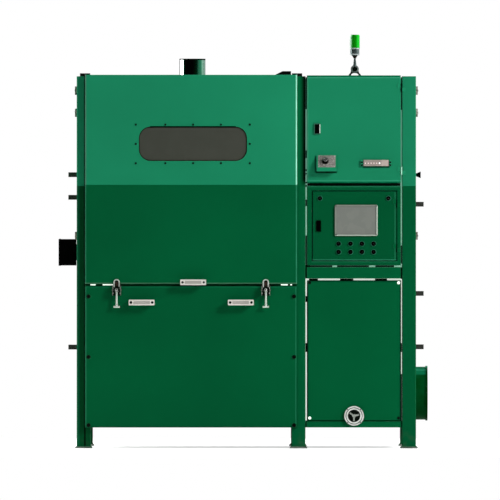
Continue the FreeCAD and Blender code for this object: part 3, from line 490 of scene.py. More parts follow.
def make_post_paint():
    """The sprayed paint with painted light and shade on each post."""
    material, tree, shader = new_finish("post_paint", **paint_gloss)
    at = own_place(tree)[1]
    middle = multiply(
        tree, reckon(tree, "GREATER_THAN", at["X"], middle_post[0] - 0.001),
        reckon(tree, "LESS_THAN", at["X"], middle_post[1] + 0.001),
    )
    meeting = reckon(tree, "ADD", multiply(tree, middle, no_meeting), two_tone_height)
    paint = use_effect(tree, sprayed_paint, Meeting_Height=meeting)
    left = remap(tree, at["X"], left_post_end, left_post_end - 0.002)
    low = remap(tree, at["Z"], two_tone_height + 0.0005, two_tone_height - 0.0005)
    outer_lit_strip = remap(tree, at["X"], left_post_end - 0.060, left_post_end - 0.078)
    hood_shadow_line = multiply(
        tree, remap(tree, at["X"], hood_shadow[0], hood_shadow[0] + 0.0015),
        remap(tree, at["X"], hood_shadow[1], hood_shadow[1] - 0.001),
    )
    right = remap(tree, at["X"], right_post_start, right_post_start + 0.002, 0.0, 0.16)
    aside = multiply(tree, middle, remap(tree, at["X"], shade_start, shade_end))
    high = remap(tree, at["Z"], upper_door_foot - 0.02, upper_door_foot + 0.02)
    # Painted shade: the left post darker low down with its outer strip lighter, the hood's shadow as a
    # line on the left post, the right post a little darker, and the middle post darker beside the upper
    # door.
    colour = tinted(
        tree, paint["Color"],
        (multiply(tree, left, low, 0.6), (0.0008, 0.030, 0.006, 1)),
        (multiply(tree, outer_lit_strip, 0.35), (0.010, 0.20, 0.10, 1)),
        (multiply(tree, hood_shadow_line, 0.95), (0.0, 0.006, 0.002, 1)),
        (right, (0, 0, 0, 1)),
        (multiply(tree, aside, high, 0.97), (0, 0.0008, 0.0004, 1)),
    )
    complete(tree, shader, paint, colour, 0.1)
    return material


dress(make_post_paint(), "frame_posts")

# Door edges
# The folded edges of hood, doors and panels catch or lose the light, so each front keeps its sprayed
# paint with narrow bands of painted highlight and painted shade along its folds and round its fittings.
band_soft = 0.0012


def inside(tree, value, low, high, soft):
    """A mask with soft ends between two values."""
    return multiply(
        tree, remap(tree, value, low - soft, low + soft),
        remap(tree, value, high - soft, high + soft, 1.0, 0.0),
    )


def make_banded_paint(name, bands, meeting=two_tone_height, tone=1.0):
    """The sprayed paint with bands of painted highlight and shade; each is (x0, x1, z0, z1, colour,
    strength) and its softness.
    """
    material, tree, shader = new_finish(name, **paint_gloss)
    paint = use_effect(tree, sprayed_paint, Meeting_Height=meeting)
    place, at = own_place(tree)
    ragged = remap(tree, noise(tree, place, 18.0, 4.0), 0.3, 0.6, 0.7, 1.0)
    layers = []
    for x0, x1, z0, z1, tint, strength, *softness in bands:
        soft = softness[0] if softness else band_soft
        layers.append((multiply(
            tree, ragged, strength, inside(tree, at["X"], x0 + shift_x, x1 + shift_x, soft),
            inside(tree, at["Z"], z0, z1, soft),
        ), tint))
    complete(tree, shader, paint, tinted(tree, dim(tree, paint["Color"], tone), *layers), 0.1)
    return material


highlight_mint = (0.30, 0.72, 0.53, 1)
soft_highlight_mint = (0.055, 0.20, 0.125, 1)
lit_green = (0.016, 0.155, 0.080, 1)
shadow_green = (0.0, 0.050, 0.018, 1)
# Painted highlights along the hood's right and left edges and along its lower edge.
dress(make_banded_paint("hood_paint", [
    (0.2815, 0.300, 1.503, 2.14, highlight_mint, 1.0), (0.2815, 0.300, 0.93, 1.503, lit_green, 1.0),
    (-0.93, -0.9115, 1.503, 2.14, soft_highlight_mint, 1.0), (-0.93, -0.9115, 0.93, 1.503, lit_green, 0.8),
    (-0.93, 0.30, 0.930, 0.9450, (0.055, 0.17, 0.095, 1), 0.9),
], 1.503), "front_hood")
# Painted shade along the upper door's top and bottom folds with painted highlights just inside them and
# on its left edge; painted shadows of the console on its left and below it, a painted highlight on its
# right, and a painted shadow under the indicator strip.
dress(make_banded_paint("upper_door_paint", [
    (0.34, 0.89, 2.1165, 2.14, (0.0, 0.105, 0.042, 1), 1.0),
    (0.34, 0.89, 2.1115, 2.1165, (0.045, 0.30, 0.17, 1), 0.9),
    (0.34, 0.353, 1.50, 2.1165, (0.040, 0.235, 0.138, 1), 0.9),
    (0.34, 0.89, 1.500, 1.5225, (0.0, 0.100, 0.040, 1), 1.0),
    (0.34, 0.89, 1.5225, 1.5285, (0.030, 0.265, 0.145, 1), 0.8),
    (0.391, 0.402, 1.572, 1.668, (0.0, 0.018, 0.008, 1), 1.0, 0.005),
    (0.397, 0.517, 1.5695, 1.5805, (0.0, 0.006, 0.003, 1), 1.0, 0.003),
    (0.513, 0.520, 1.576, 1.672, (0.004, 0.14, 0.06, 1), 0.8, 0.004),
    (0.664, 0.815, 1.5995, 1.6095, (0.0, 0.012, 0.006, 1), 1.0, 0.004),
], 1.2, 0.89), "cabinet_door")
# Painted highlights along the top and the foot of the surround; painted shade round its opening.
dress(make_banded_paint("surround_paint", [
    (0.34, 0.89, 1.4895, 1.4995, lit_green, 0.6),
    (0.3705, 0.376, 1.066, 1.474, shadow_green, 0.9), (0.3705, 0.862, 1.4685, 1.474, shadow_green, 0.9),
    (0.8575, 0.862, 1.066, 1.474, shadow_green, 0.9), (0.3705, 0.862, 1.060, 1.0665, lit_green, 0.3),
], 1.6, 0.88), "control_surround")
# Painted highlights on the control door's lower and right edges; painted shade on its left, top and far
# right edges.
dress(make_banded_paint("control_door_paint", [
    (0.378, 0.856, 1.070, 1.0785, lit_green, 1.0), (0.8445, 0.8505, 1.070, 1.462, lit_green, 0.6),
    (0.377, 0.3815, 1.070, 1.467, shadow_green, 0.6), (0.377, 0.856, 1.4620, 1.467, shadow_green, 0.6),
    (0.8535, 0.857, 1.070, 1.467, shadow_green, 0.8),
], tone=0.82), "control_door")
# The hood's painted shadow along the lower door's top with a painted highlight below it and on both
# sides; painted shade on its right edge and its foot.
dress(make_banded_paint("lower_door_paint", [
    (-0.93, 0.30, 0.9245, 0.932, (0.0, 0.003, 0.001, 1), 1.0),
    (-0.93, 0.30, 0.9185, 0.9235, (0.006, 0.125, 0.056, 1), 0.7),
    (-0.920, -0.9095, 0.12, 0.9235, (0.010, 0.130, 0.060, 1), 0.9),
    (0.2790, 0.2845, 0.12, 0.9235, (0.012, 0.140, 0.068, 1), 0.9),
    (0.2860, 0.2900, 0.12, 0.932, shadow_green, 0.8), (-0.93, 0.30, 0.119, 0.1285, shadow_green, 0.6),
], tone=0.95), "lower_door")
# The guard's round shading is painted by height: dark in the middle, lighter bands towards its top, a
# painted highlight near the side and painted shade on its outer rim.
dress(make_banded_paint("guard_paint", [
    (0.94, 1.04, 0.14, 0.418, (0.0, 0.045, 0.007, 1), 1.0, 0.006),
    (0.94, 1.04, 0.418, 0.440, (0.003, 0.145, 0.062, 1), 1.0, 0.004),
    (0.94, 1.04, 0.440, 0.448, (0.020, 0.240, 0.130, 1), 1.0, 0.002),
    (0.94, 1.04, 0.449, 0.459, (0.004, 0.160, 0.075, 1), 1.0, 0.003),
    (0.94, 1.04, 0.460, 0.47, (0.045, 0.28, 0.17, 1), 1.0, 0.002),
    (0.955, 0.9705, 0.14, 0.47, (0.065, 0.27, 0.155, 1), 0.9),
    (1.0285, 1.040, 0.14, 0.455, (0.0, 0.018, 0.001, 1), 1.0),
]), "round_guard")
# Painted shade just inside the service panel's left, right and top edges.
dress(make_banded_paint("service_paint", [
    (0.347, 0.3555, 0.158, 0.957, shadow_green, 0.85), (0.8705, 0.880, 0.158, 0.957, shadow_green, 0.85),
    (0.347, 0.880, 0.9475, 0.957, shadow_green, 0.85),
], tone=0.95), "service_panel")

# Exhaust duct
# A spun steel spigot with its own hard, glossy coat over a metallic green. The dark of its left side
# and the bright lines along its edges are painted into its colour.
duct_green = (0.0, 0.20, 0.095, 1)
duct_middle = (-0.310, 0.180)
duct_radius = 0.075
duct_top = 2.223
collar_top = 2.114


def make_duct_paint():
    """A glossy metallic coat with painted shade over its left side and painted highlights along its
    edges.
    """
    material, tree, shader = new_finish(
        "duct_paint", Coat_Weight=0.3, Coat_Roughness=0.06, Coat_IOR=1.6,
    )
    paint = use_effect(tree, sprayed_paint, Upper_Green=duct_green, Roughness=0.24)
    at = own_place(tree)[1]
    across = at["X"]
    west = duct_middle[0] + shift_x - duct_radius
    on_pipe = remap(tree, at["Z"], collar_top + 0.0005, collar_top + 0.0015)
    # Painted shade over the left side; then a painted white highlight near the left edge, a dark line at
    # that very edge, and a painted highlight along the right edge.
    layers = [(multiply(
        tree, remap(tree, across, west + 0.0235, west + 0.0255),
        remap(tree, across, west + 0.076, west + 0.132, 1.0, 0.0), on_pipe,
    ), (0.0, 0.002, 0.001, 1))]
    for start, end, tint, strength in (
        (0.0235, 0.0215, (1.0, 1.0, 1.0, 1), 1.0), (0.0050, 0.0040, (0.03, 0.06, 0.05, 1), 1.0),
        (0.1240, 0.1400, (0.42, 0.72, 0.58, 1), 0.8),
    ):
        part = remap(tree, across, west + start, west + end)
        layers.append((multiply(tree, part, on_pipe, strength), tint))
    complete(tree, shader, paint, tinted(tree, paint["Color"], *layers), Metallic=on_pipe)
    return material


dress(make_duct_paint(), "exhaust_duct")

# Foot welds
# A fillet weld runs round the foot of every post. It is laid by hand, so its bead is uneven, and
# it is painted over with the post.
post_starts = (-0.967, 0.257, 0.887)
post_side = 0.080
frame_front = -0.650
frame_back = 0.650
shift = Vector((shift_x, 0.0405, 0.0))
weld_wide = 0.005
weld_low, weld_high = 0.010, 0.015
forward = (0, -1, 0)


def start_shape(add, place, turn=(0, 0, 0), **settings):
    """A primitive at a place, turned and sized, with its transform applied."""
    bpy.ops.object.select_all(action="DESELECT")
    add(location=place, rotation=turn, **settings)
    bpy.ops.object.transform_apply(location=True, rotation=True, scale=True)
    return bpy.context.object


def start_block(low, high):
    """A cube placed and sized between two corners."""
    low, high = Vector(low) + shift, Vector(high) + shift
    return start_shape(bpy.ops.mesh.primitive_cube_add, (low + high) / 2, size=1, scale=high - low)


def drop_picks(obj):
    """Leaves edit mode with nothing selected."""
    bpy.ops.object.mode_set(mode="OBJECT")
    for part in (obj.data.vertices, obj.data.edges, obj.data.polygons):
        for item in part:
            item.select = False


def pick_faces(obj, test):
    """Goes to edit mode with only the faces selected that pass a test."""
    drop_picks(obj)
    for face in obj.data.polygons:
        face.select = test(face)
    bpy.ops.object.mode_set(mode="EDIT")
    bpy.ops.mesh.select_mode(type="FACE")


def facing(direction, deep=None):
    """A test for faces that look one way, and lie past a place along it if one is given."""
    way = Vector(direction)
    return lambda face: face.normal.dot(way) > 0.9 and (
        deep is None or face.center.dot(way) > deep
    )


def soften(obj, way, offset, segments=2):
    """Bevels the rim of the faces that look one way."""
    pick_faces(obj, facing(way))
    bpy.ops.mesh.bevel(offset=offset, segments=segments)
    bpy.ops.object.mode_set(mode="OBJECT")
    return obj


def join_all(parts):
    """Joins parts to the first of them."""
    bpy.ops.object.select_all(action="DESELECT")
    for part in parts:
        part.select_set(True)
    bpy.context.view_layer.objects.active = parts[0]
    bpy.ops.object.join()
    return parts[0]


def repeat(obj, steps):
    """Copies a part by each step and joins the copies with it."""
    bpy.ops.object.mode_set(mode="OBJECT")
    parts = [obj]
    for step in steps:
        twin = obj.copy()
        twin.data = obj.data.copy()
        twin.location = step
        bpy.context.scene.collection.objects.link(twin)
        parts.append(twin)
    return join_all(parts)


def finish_piece(obj, name, material, body, smooth=35):
    """Names a piece, shades it, gives it its finish and ties it to its body."""
    bpy.ops.object.mode_set(mode="OBJECT")
    bpy.ops.object.select_all(action="DESELECT")
    obj.select_set(True)
    bpy.context.view_layer.objects.active = obj
    bpy.ops.object.transform_apply(location=True, rotation=True, scale=True)
    bpy.ops.object.shade_smooth_by_angle(angle=math.radians(smooth))
    obj.name = obj.data.name = name
    obj.data.materials.clear()
    obj.data.materials.append(material)
    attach(obj, body)
    return obj


weld = start_block(
    (post_starts[0] - weld_wide, frame_front - weld_wide, weld_low),
    (post_starts[0] + post_side + weld_wide, frame_front + post_side + weld_wide, weld_high),
)
to_back = frame_back - post_side - frame_front
weld_steps = [(start - post_starts[0], deep, 0) for start in post_starts for deep in (0, to_back)]
repeat(soften(weld, (0, 0, 1), 0.003, 3), weld_steps[1:])
finish_piece(weld, "foot_welds", green_paint, "frame", 60)

# Window gasket
# A black rubber profile is pressed round the window opening. It fills the step between the hood
# sheet and the pane and shows as a thin dark line.
hood_face = -0.690
window = (-0.612, 0.004, 1.639, 1.834)
window_round = 0.066
gasket_wide = 0.0042


def round_ring(low, high, corner, wide, steps=8):
    """A flat ring with rounded corners that faces the front, as tall as the box is deep."""
    ring = start_block(low, high)
    drop_picks(ring)
    for edge in ring.data.edges:
        one, two = (ring.data.vertices[index].co for index in edge.vertices)
        edge.select = abs(one.y - two.y) > 1e-5
    bpy.ops.object.mode_set(mode="EDIT")
    bpy.ops.mesh.select_mode(type="EDGE")
    bpy.ops.mesh.bevel(offset=corner, segments=steps)
    pick_faces(ring, lambda face: abs(face.normal.y) > 0.9)
    bpy.ops.mesh.inset(thickness=wide, depth=0)
    bpy.ops.mesh.bridge_edge_loops()
    return ring


gasket = round_ring(
    (window[0], hood_face - 0.0006, window[2]), (window[1], hood_face + 0.0035, window[3]),
    window_round, gasket_wide,
)
rubber = moulded_finish(
    "rubber", (0.004, 0.006, 0.0035), (0.030, 0.016, 0.013), 0.7, 0.25, 0.0004,
    {"Specular_IOR_Level": 0.05},
)
finish_piece(gasket, "window_gasket", rubber, "hood")

# Window screws
# Small dark pan-head screws with a hexagon hole hold the clamp frame: five above, five below and
# one at each end.
screw_columns = (-0.6296, -0.4614, -0.303, -0.1445, 0.0202)
screw_rows = (1.846, 1.626)
end_row = 1.736


def sink_faces(obj, test, rims, step):
    """Insets the faces that pass a test, once for each rim, and moves them by a step."""
    pick_faces(obj, test)
    for rim in rims:
        bpy.ops.mesh.inset(thickness=rim, depth=0)
    bpy.ops.transform.translate(value=step)
    bpy.ops.object.mode_set(mode="OBJECT")
    return obj


def screw_head(place, radius, tall, way=forward, sides=24, hole=0.45):
    """A round screw head with a softened rim and a hole for the key; it stands on a face."""
    way = Vector(way)
    head = start_shape(
        bpy.ops.mesh.primitive_cylinder_add, Vector(place) + shift + way * tall / 2,
        way.to_track_quat("Z", "Y").to_euler(), vertices=sides, radius=radius, depth=tall,
    )
    soften(head, way, min(radius, tall) * 0.4, 3)
    top = max(vertex.co.dot(way) for vertex in head.data.vertices)
    return sink_faces(
        head, facing(way, top - tall * 0.05), (radius * (1 - hole) * 0.55, radius * 0.06),
        -way * tall * 0.5,
    )


def screw_row(name, places, radius, tall, material, body, way=forward, sides=24):
    """Like screw heads at several places, joined into one piece."""
    head = screw_head(places[0], radius, tall, way, sides)
    repeat(head, [Vector(place) - Vector(places[0]) for place in places[1:]])
    return finish_piece(head, name, material, body)


window_screws = [(x, hood_face, z) for z in screw_rows for x in screw_columns]
window_screws += [(x, hood_face, end_row) for x in (screw_columns[0], screw_columns[-1])]
black_screw = metal_finish(
    "black_screw", (0.004, 0.009, 0.006), (0.0006, 0.0015, 0.001), 0.4, 0.1, 0.0002,
    {"Specular_IOR_Level": 0.02}, Grain=even, Grain_Scale=300.0,
)
screw_row("window_screws", window_screws, 0.0058, 0.003, black_screw, "hood")

# Lower door bolts
# Six black socket bolts on flat washers hold the lower door; three stand along each side.
door_face = -0.684
bolt_columns = (-0.899, 0.272)
bolt_rows = (0.867, 0.522, 0.133)
door_bolts = [(x, door_face, z) for z in bolt_rows for x in bolt_columns]
screw_row("lower_door_bolts", door_bolts, 0.0115, 0.008, black_screw, "frame")
screw_row("lower_door_washers", door_bolts, 0.0145, 0.0018, green_paint, "frame")

# Handle screws
# Each bridge handle is held by two countersunk black screws through the ends of its grip. The
# hood's handle has them, and its darker middle strip, in its finish.
handle_front = 0.051
handle_row = 0.8325
handle_columns = (-0.5965, -0.0315)
screw_aside = 0.0605
grip_screws = [
    (x + side * screw_aside, door_face - handle_front + 0.0002, handle_row)
    for x in handle_columns for side in (-1, 1)
]
screw_row("door_handle_screws", grip_screws, 0.0074, 0.0014, black_screw, "frame")


def off_from(tree, value, middle):
    """How far a number is from a middle."""
    return reckon(tree, "ABSOLUTE", reckon(tree, "SUBTRACT", value, middle))


def make_hood_handle_finish():
    """The cast finish with the darker middle strip and the two dark screw ends in one material."""
    material, tree, shader = new_finish("hood_handle_finish", Metallic=0.15)
    metal = use_effect(
        tree, rolled_metal, Bright=(0.74, 0.72, 0.66, 1), Dull=(0.60, 0.58, 0.52, 1),
    )
    at = own_place(tree)[1]
    across = off_from(tree, at["X"], -0.303 + shift.x)
    up = off_from(tree, at["Z"], 0.9475)
    grip_face = hood_face - 0.050 + shift.y
    front = remap(tree, at["Y"], grip_face, grip_face - 0.0003)
    strip = multiply(tree, remap(tree, across, 0.0475, 0.0465), remap(tree, up, 0.0090, 0.0080), front)
    aside = reckon(tree, "SUBTRACT", across, screw_aside)
    corner = add_node(tree, "ShaderNodeCombineXYZ", {"X": aside, "Y": up}).outputs[0]
    far = reckon_vector(tree, "LENGTH", corner)
    hole = multiply(tree, remap(tree, far, 0.0072, 0.0064), front)
    colour = tinted(
        tree, metal["Color"], (strip, (0.37, 0.35, 0.315, 1)), (hole, (0.001, 0.002, 0.001, 1)),
    )
    complete(tree, shader, metal, colour)
    return material


dress(make_hood_handle_finish(), "hood_handle")

# Latches
# Polished wire loop, cheeks and pin stand proud of a base plate darkened as painted shade; only the
# proud parts shine.
# Two rivets hold each cheek's foot, and a nut locks the pin.
latch_columns = (-0.739, 0.111)
latch_pitch = latch_columns[1] - latch_columns[0]
latch_pin = (hood_face - 0.020, 0.903)


def make_latch_steel():
    """Bright metal, darkened towards the base plate as painted shade, with a dark pin."""
    material, tree, shader = new_finish("latch_steel", Specular_IOR_Level=0.02)
    metal = use_effect(
        tree, rolled_metal, Bright=(0.86, 0.94, 0.85, 1), Dull=(0.50, 0.57, 0.50, 1),
    )
    at = own_place(tree)[1]
    back = hood_face + shift.y
    painted_depth_shade = remap(tree, at["Y"], back - 0.0046, back - 0.0034)
    from_middle = off_from(tree, at["X"], sum(latch_columns) / 2 + shift.x)
    far = off_from(tree, from_middle, latch_pitch / 2)
    pin = multiply(
        tree, remap(tree, at["Y"], back - 0.0115, back - 0.0130), remap(tree, far, 0.0205, 0.0190),
    )
    colour = tinted(
        tree, metal["Color"], (remap(tree, far, 0.0190, 0.0205), (0.17, 0.20, 0.17, 1)),
        (pin, (0.012, 0.018, 0.012, 1)), (painted_depth_shade, (0.002, 0.010, 0.005, 1)),
    )
    complete(tree, shader, metal, colour, Metallic=remap(tree, painted_depth_shade, 0.0, 1.0, 0.6, 0.0))
    return material


def make_lever_steel():
    """Bright levers, dark round their hubs."""
    material, tree, shader = new_finish("lever_steel", Metallic=0.3)
    metal = use_effect(
        tree, rolled_metal, Bright=(0.80, 0.90, 0.80, 1), Dull=(0.50, 0.58, 0.50, 1),
        Roughness=0.3,
    )
    hub = remap(tree, own_place(tree)[1]["Z"], latch_pin[1] - 0.0095, latch_pin[1] - 0.0070)
    complete(tree, shader, metal, tinted(tree, metal["Color"], (hub, (0.010, 0.016, 0.011, 1))))
    return material


lever_bright = metal_finish(
    "lever_bright", (0.86, 0.94, 0.87), (0.66, 0.74, 0.67), 0.35, 0.05, 0.0002,
    {"Metallic": 0.2},
)
dress(make_latch_steel(), "latch_bodies")
dress(make_lever_steel(), "latch_lever_left", "latch_lever_right")
tongue_brown = moulded_finish(
    "tongue_brown", (0.022, 0.012, 0.009), (0.075, 0.045, 0.035), 0.6, 0.2, 0.0004,
    {"Specular_IOR_Level": 0.1},
)
pad = start_block(
    (latch_columns[0] - 0.0075, -0.6965, 0.926), (latch_columns[0] + 0.0075, -0.6925, 0.950),
)
repeat(soften(pad, forward, 0.0015), [(latch_pitch, 0, 0)])
finish_piece(pad, "latch_tongue_pads", tongue_brown, "hood")
cheek_rivets = [
    (x + side * 0.0205, latch_pin[0] - 0.0100, z)
    for x in latch_columns for side in (-1, 1) for z in (0.915, 0.886)
]
screw_row(
    "latch_rivets", cheek_rivets, 0.0028, 0.0016, bright_steel, "hood", sides=16,
)
for label, x in (("left", latch_columns[0]), ("right", latch_columns[1])):
    lever = label + "_latch_lever"
    screw_row(
        "latch_hub_nut_" + label, [(x - 0.001, latch_pin[0] - 0.0095, latch_pin[1] + 0.002)],
        0.0084, 0.004, bright_steel, lever, sides=6,
    )
    screw_row(
        "latch_nut_core_" + label, [(x, latch_pin[0] - 0.0115, latch_pin[1] + 0.003)],
        0.0036, 0.0026, black_screw, lever, sides=16,
    )
    collar = screw_head((x, latch_pin[0], 0.8215), 0.0078, 0.006, (0, 0, -1), 20)
    finish_piece(collar, "latch_grip_collar_" + label, bright_steel, lever)

# Black foam lengths
# Lengths of black foam, cut by hand and pressed in over the pale sealing strips of the right bay, are
# painted shade where the gaps lie in shade. One corner has a new pale piece, with the seal's painted
# glow.
foam_front, foam_back = -0.6470, -0.6335
left_gap = (0.3375, 0.3445)
right_gap = (0.8805, 0.8865)
panel_gap = (0.3487, 0.8783)
bay_split = 0.96
left_spans = (
    (2.117, 1.935), (1.699, 1.656), (1.592, 1.582), (1.570, 1.5625), (1.520, 1.511),
    (1.503, 1.4915), (1.419, 1.382), (1.214, 0.972), (0.869, 0.835), (0.601, 0.550),
)
right_spans = ((2.117, 1.930), (1.158, 1.054), (1.029, 0.966), (0.601, 0.550), (0.425, 0.160))
cover_spans = ((0.347, 0.490), (0.517, 0.699), (0.735, 0.842))
panel_spans = ((0.357, 0.408), (0.534, 0.610), (0.733, 0.802))
foam_boxes = [
    (left_gap[0], left_gap[1] if high > bay_split else panel_gap[0], low, high)
    for high, low in left_spans
]
foam_boxes += [
    (right_gap[0] if high > bay_split else panel_gap[1], right_gap[1], low, high)
    for high, low in right_spans
]
foam_boxes += [(x0, x1, 1.0345, 1.0435) for x0, x1 in cover_spans]
foam_boxes += [(x0, x1, 0.9560, 0.9685) for x0, x1 in panel_spans]
foam_boxes += [(0.3475, 0.878, 1.4975, 1.5125)]
foam = join_all([
    soften(start_block((x0, foam_front, z0), (x1, foam_back, z1)), forward, 0.0012)
    for x0, x1, z0, z1 in foam_boxes
])
foam_rubber = moulded_finish(
    "foam_rubber", (0.0006, 0.0020, 0.0010), (0.002, 0.006, 0.003), 0.9, 0.4, 0.0008,
    {"Specular_IOR_Level": 0.02}, Grain_Scale=900.0,
)
finish_piece(foam, "gap_shade_foam", foam_rubber, "frame", 60)
corner_seal = start_block((0.861, -0.6330, 1.0338), (0.8868, -0.6302, 1.0458))
soften(corner_seal, forward, 0.001)
finish_piece(corner_seal, "corner_seal", pale_seal, "frame", 60)

# Panel edging
# A slotted rubber profile is pushed over the edge of the lower right panel.
edging = round_ring((0.3450, -0.6530, 0.1585), (0.8816, -0.6440, 0.9590), 0.003, 0.0040, 3)
finish_piece(edging, "panel_edging", foam_rubber, "frame", 60)

# Window top lip
# A short dark rubber lip is glued along the top of the window opening as painted shade for the shadow of
# the sheet's edge.
window_shade_lip = start_block((-0.548, hood_face - 0.0030, 1.8300), (-0.060, hood_face + 0.002, 1.8372))
soften(window_shade_lip, forward, 0.0022, 3)
finish_piece(window_shade_lip, "window_top_shade_lip", foam_rubber, "hood")

# Sealing pieces of the split
# Short lengths of the pale sealing strip lie on the lower door's top edge and show in the split
# below the hood, two at each end.
split_spans = ((-0.889, -0.859), (-0.819, -0.760), (0.197, 0.236), (0.2505, 0.260))
split_seals = join_all([
    soften(start_block((x0, -0.6835, 0.9302), (x1, -0.652, 0.9370)), forward, 0.001)
    for x0, x1 in split_spans
])
# The split seals carry the pale seal's painted glow.
finish_piece(split_seals, "split_seals", pale_seal, "frame", 60)

# Handle grips
# The middle of each bridge handle is dished, darker and duller than its light rims.
grip_dull = metal_finish(
    "grip_dull", (0.42, 0.40, 0.36), (0.33, 0.31, 0.285), 0.55, 0.2, 0.0002,
    {"Metallic": 0.1, "Specular_IOR_Level": 0.1}, Grain=even, Grain_Scale=200.0,
)
grip_front = door_face - handle_front
for label, x in zip(("left", "right"), handle_columns):
    strip = start_block(
        (x - 0.047, grip_front - 0.0012, handle_row - 0.0085),
        (x + 0.047, grip_front + 0.002, handle_row + 0.0085),
    )
    sink_faces(strip, facing(forward), (0.0015,), (0, 0.0006, 0))
    finish_piece(strip, "grip_" + label, grip_dull, "frame")

# Door hinges
# Weld-on leaves, sprayed over with the doors. The knuckles are pale as painted light on the upper door
# below its top hinge, and dark as painted shade at that hinge and on the control door.
knuckles = (
    (0.884, 0.0036, (0.34, 0.66, 0.50, 1), 0.0, 1.93),
    (0.884, 0.0045, (0.0008, 0.004, 0.002, 1), 1.93, 3.0),
    (0.857, 0.0034, (0.0008, 0.010, 0.004, 1), 0.0, 3.0),
)


def make_hinge_paint():
    """Leaves in the paint of the doors; knuckles pale as painted light or dark as painted shade by where
    they stand.
    """
    material, tree, shader = new_finish("hinge_paint", **paint_gloss)
    paint = use_effect(tree, sprayed_paint)
    at = own_place(tree)[1]
    layers = []
    for middle, half, tint, low, high in knuckles:
        far = off_from(tree, at["X"], middle + shift_x)
        layers.append((multiply(
            tree, remap(tree, far, half + 0.0004, half - 0.0004),
            remap(tree, at["Z"], low - 0.001, low), remap(tree, at["Z"], high, high - 0.001),
        ), tint))
    complete(tree, shader, paint, tinted(tree, paint["Color"], *layers))
    return material


dress(make_hinge_paint(), "door_hinges_fixed", "cabinet_door_leaves", "control_door_leaves")

# Console face plate
# A grey textured plate without print covers the sloping front of the console. Four small screws
# hold it, a dark washer sits under the switch knob, and a metal cap closes the knob.
console_tilt = -math.atan2(0.045, 0.076)
slope_way = Vector((0, -math.cos(console_tilt), -math.sin(console_tilt)))
slope_up = Vector((0, math.sin(-console_tilt), math.cos(console_tilt)))
face_middle = Vector((0.458, -0.655 - 0.045 * (1.674 - 1.6365) / 0.076, 1.6365))
plate_size = (0.100, 0.0016, 0.078)
face_plate = start_shape(
    bpy.ops.mesh.primitive_cube_add, face_middle + shift + slope_way * plate_size[1] / 2,
    (console_tilt, 0, 0), size=1, scale=plate_size,
)
soften(face_plate, slope_way, 0.0012)
plate_grey = moulded_finish(
    "plate_grey", (0.105, 0.098, 0.088), (0.46, 0.44, 0.41), 0.6, 0.5, 0.0008,
    {"Specular_IOR_Level": 0.2}, Grain_Scale=420.0, Patch_Scale=190.0, Patch_Strength=0.9,
)
finish_piece(face_plate, "console_face_plate", plate_grey, "upper_door")
plate_screws = [
    face_middle + slope_way * plate_size[1] + Vector((across, 0, 0)) + slope_up * along
    for across in (-0.044, 0.044) for along in (-0.033, 0.033)
]
screw_row(
    "console_screws", plate_screws, 0.0028, 0.0012, bright_steel, "upper_door",
    slope_way, 16,
)
knob_seat = Vector((0.450, face_middle.y, 1.6365)) + slope_way * plate_size[1]
knob_washer = screw_head(knob_seat, 0.0195, 0.0012, slope_way, 36)
finish_piece(knob_washer, "knob_washer", rubber, "upper_door")
knob_cap = screw_head(knob_seat + slope_way * 0.0188, 0.0125, 0.0030, slope_way, 32, 0.7)
knob_metal = metal_finish(
    "knob_metal", (0.62, 0.62, 0.60), (0.30, 0.30, 0.29), 0.2, 0.05, 0.0002, {"Metallic": 0.9},
)
finish_piece(knob_cap, "knob_cap", knob_metal, "switch_knob")

# Indicator strip
# A pinkish grey strip with six small lamps, the last one bright. Its ears are painted over, and
# two dark screws sit in each ear.
strip_front = -0.665
lamp_columns = (0.678, 0.695, 0.711, 0.727, 0.742)
lit_column = 0.759
lamp_row = 1.626


def make_strip_finish():
    """Brushed strip with painted ears, duller under its lamps."""
    material, tree, shader = new_finish("strip_finish", Specular_IOR_Level=0.1)
    skin = use_effect(
        tree, moulded_surface, Colour=(0.40, 0.335, 0.30, 1), Pale=(0.56, 0.52, 0.48, 1),
    )
    paint = use_effect(tree, sprayed_paint)
    across = own_place(tree)[1]["X"]
    left = remap(tree, across, 0.667 + shift_x, 0.669 + shift_x)
    right = remap(tree, across, 0.812 + shift_x, 0.810 + shift_x)
    under_lamps = remap(tree, across, 0.775 + shift_x, 0.765 + shift_x, 0.0, 0.5)
    far = off_from(tree, across, 0.7395 + shift_x)
    rim = multiply(tree, remap(tree, far, 0.0705, 0.0715), remap(tree, far, 0.0755, 0.0745))
    colour = tinted(
        tree, paint["Color"], (multiply(tree, left, right), skin["Color"]),
        (multiply(tree, under_lamps, left), (0.15, 0.125, 0.112, 1)), (rim, (0.0, 0.010, 0.004, 1)),
    )
    complete(tree, shader, skin, colour)
    return material


dress(make_strip_finish(), "indicator_strip")
dim_lamp = moulded_finish(
    "dim_lamp", (0.6, 0.5, 0.48), (0.7, 0.6, 0.58), 0.25, 0.05, 0.0002,
    {"Emission_Color": (1.0, 0.80, 0.76, 1), "Emission_Strength": 0.30},
)
lit_lamp = moulded_finish(
    "lit_lamp", (0.8, 0.8, 0.8), (0.9, 0.9, 0.9), 0.2, 0.05, 0.0002,
    {"Emission_Color": (1.0, 0.95, 0.92, 1), "Emission_Strength": 0.7},
)
screw_row(
    "dim_lamps", [(x, strip_front, lamp_row) for x in lamp_columns], 0.0036, 0.003, dim_lamp,
    "upper_door", sides=20,
)
screw_row(
    "lit_lamp", [(lit_column, strip_front, lamp_row)], 0.0044, 0.0035, lit_lamp, "upper_door",
    sides=20,
)
strip_screws = [(x, strip_front, z) for x in (0.6585, 0.8205) for z in (1.6315, 1.6155)]
screw_row("strip_screws", strip_screws, 0.0052, 0.0025, black_screw, "upper_door")

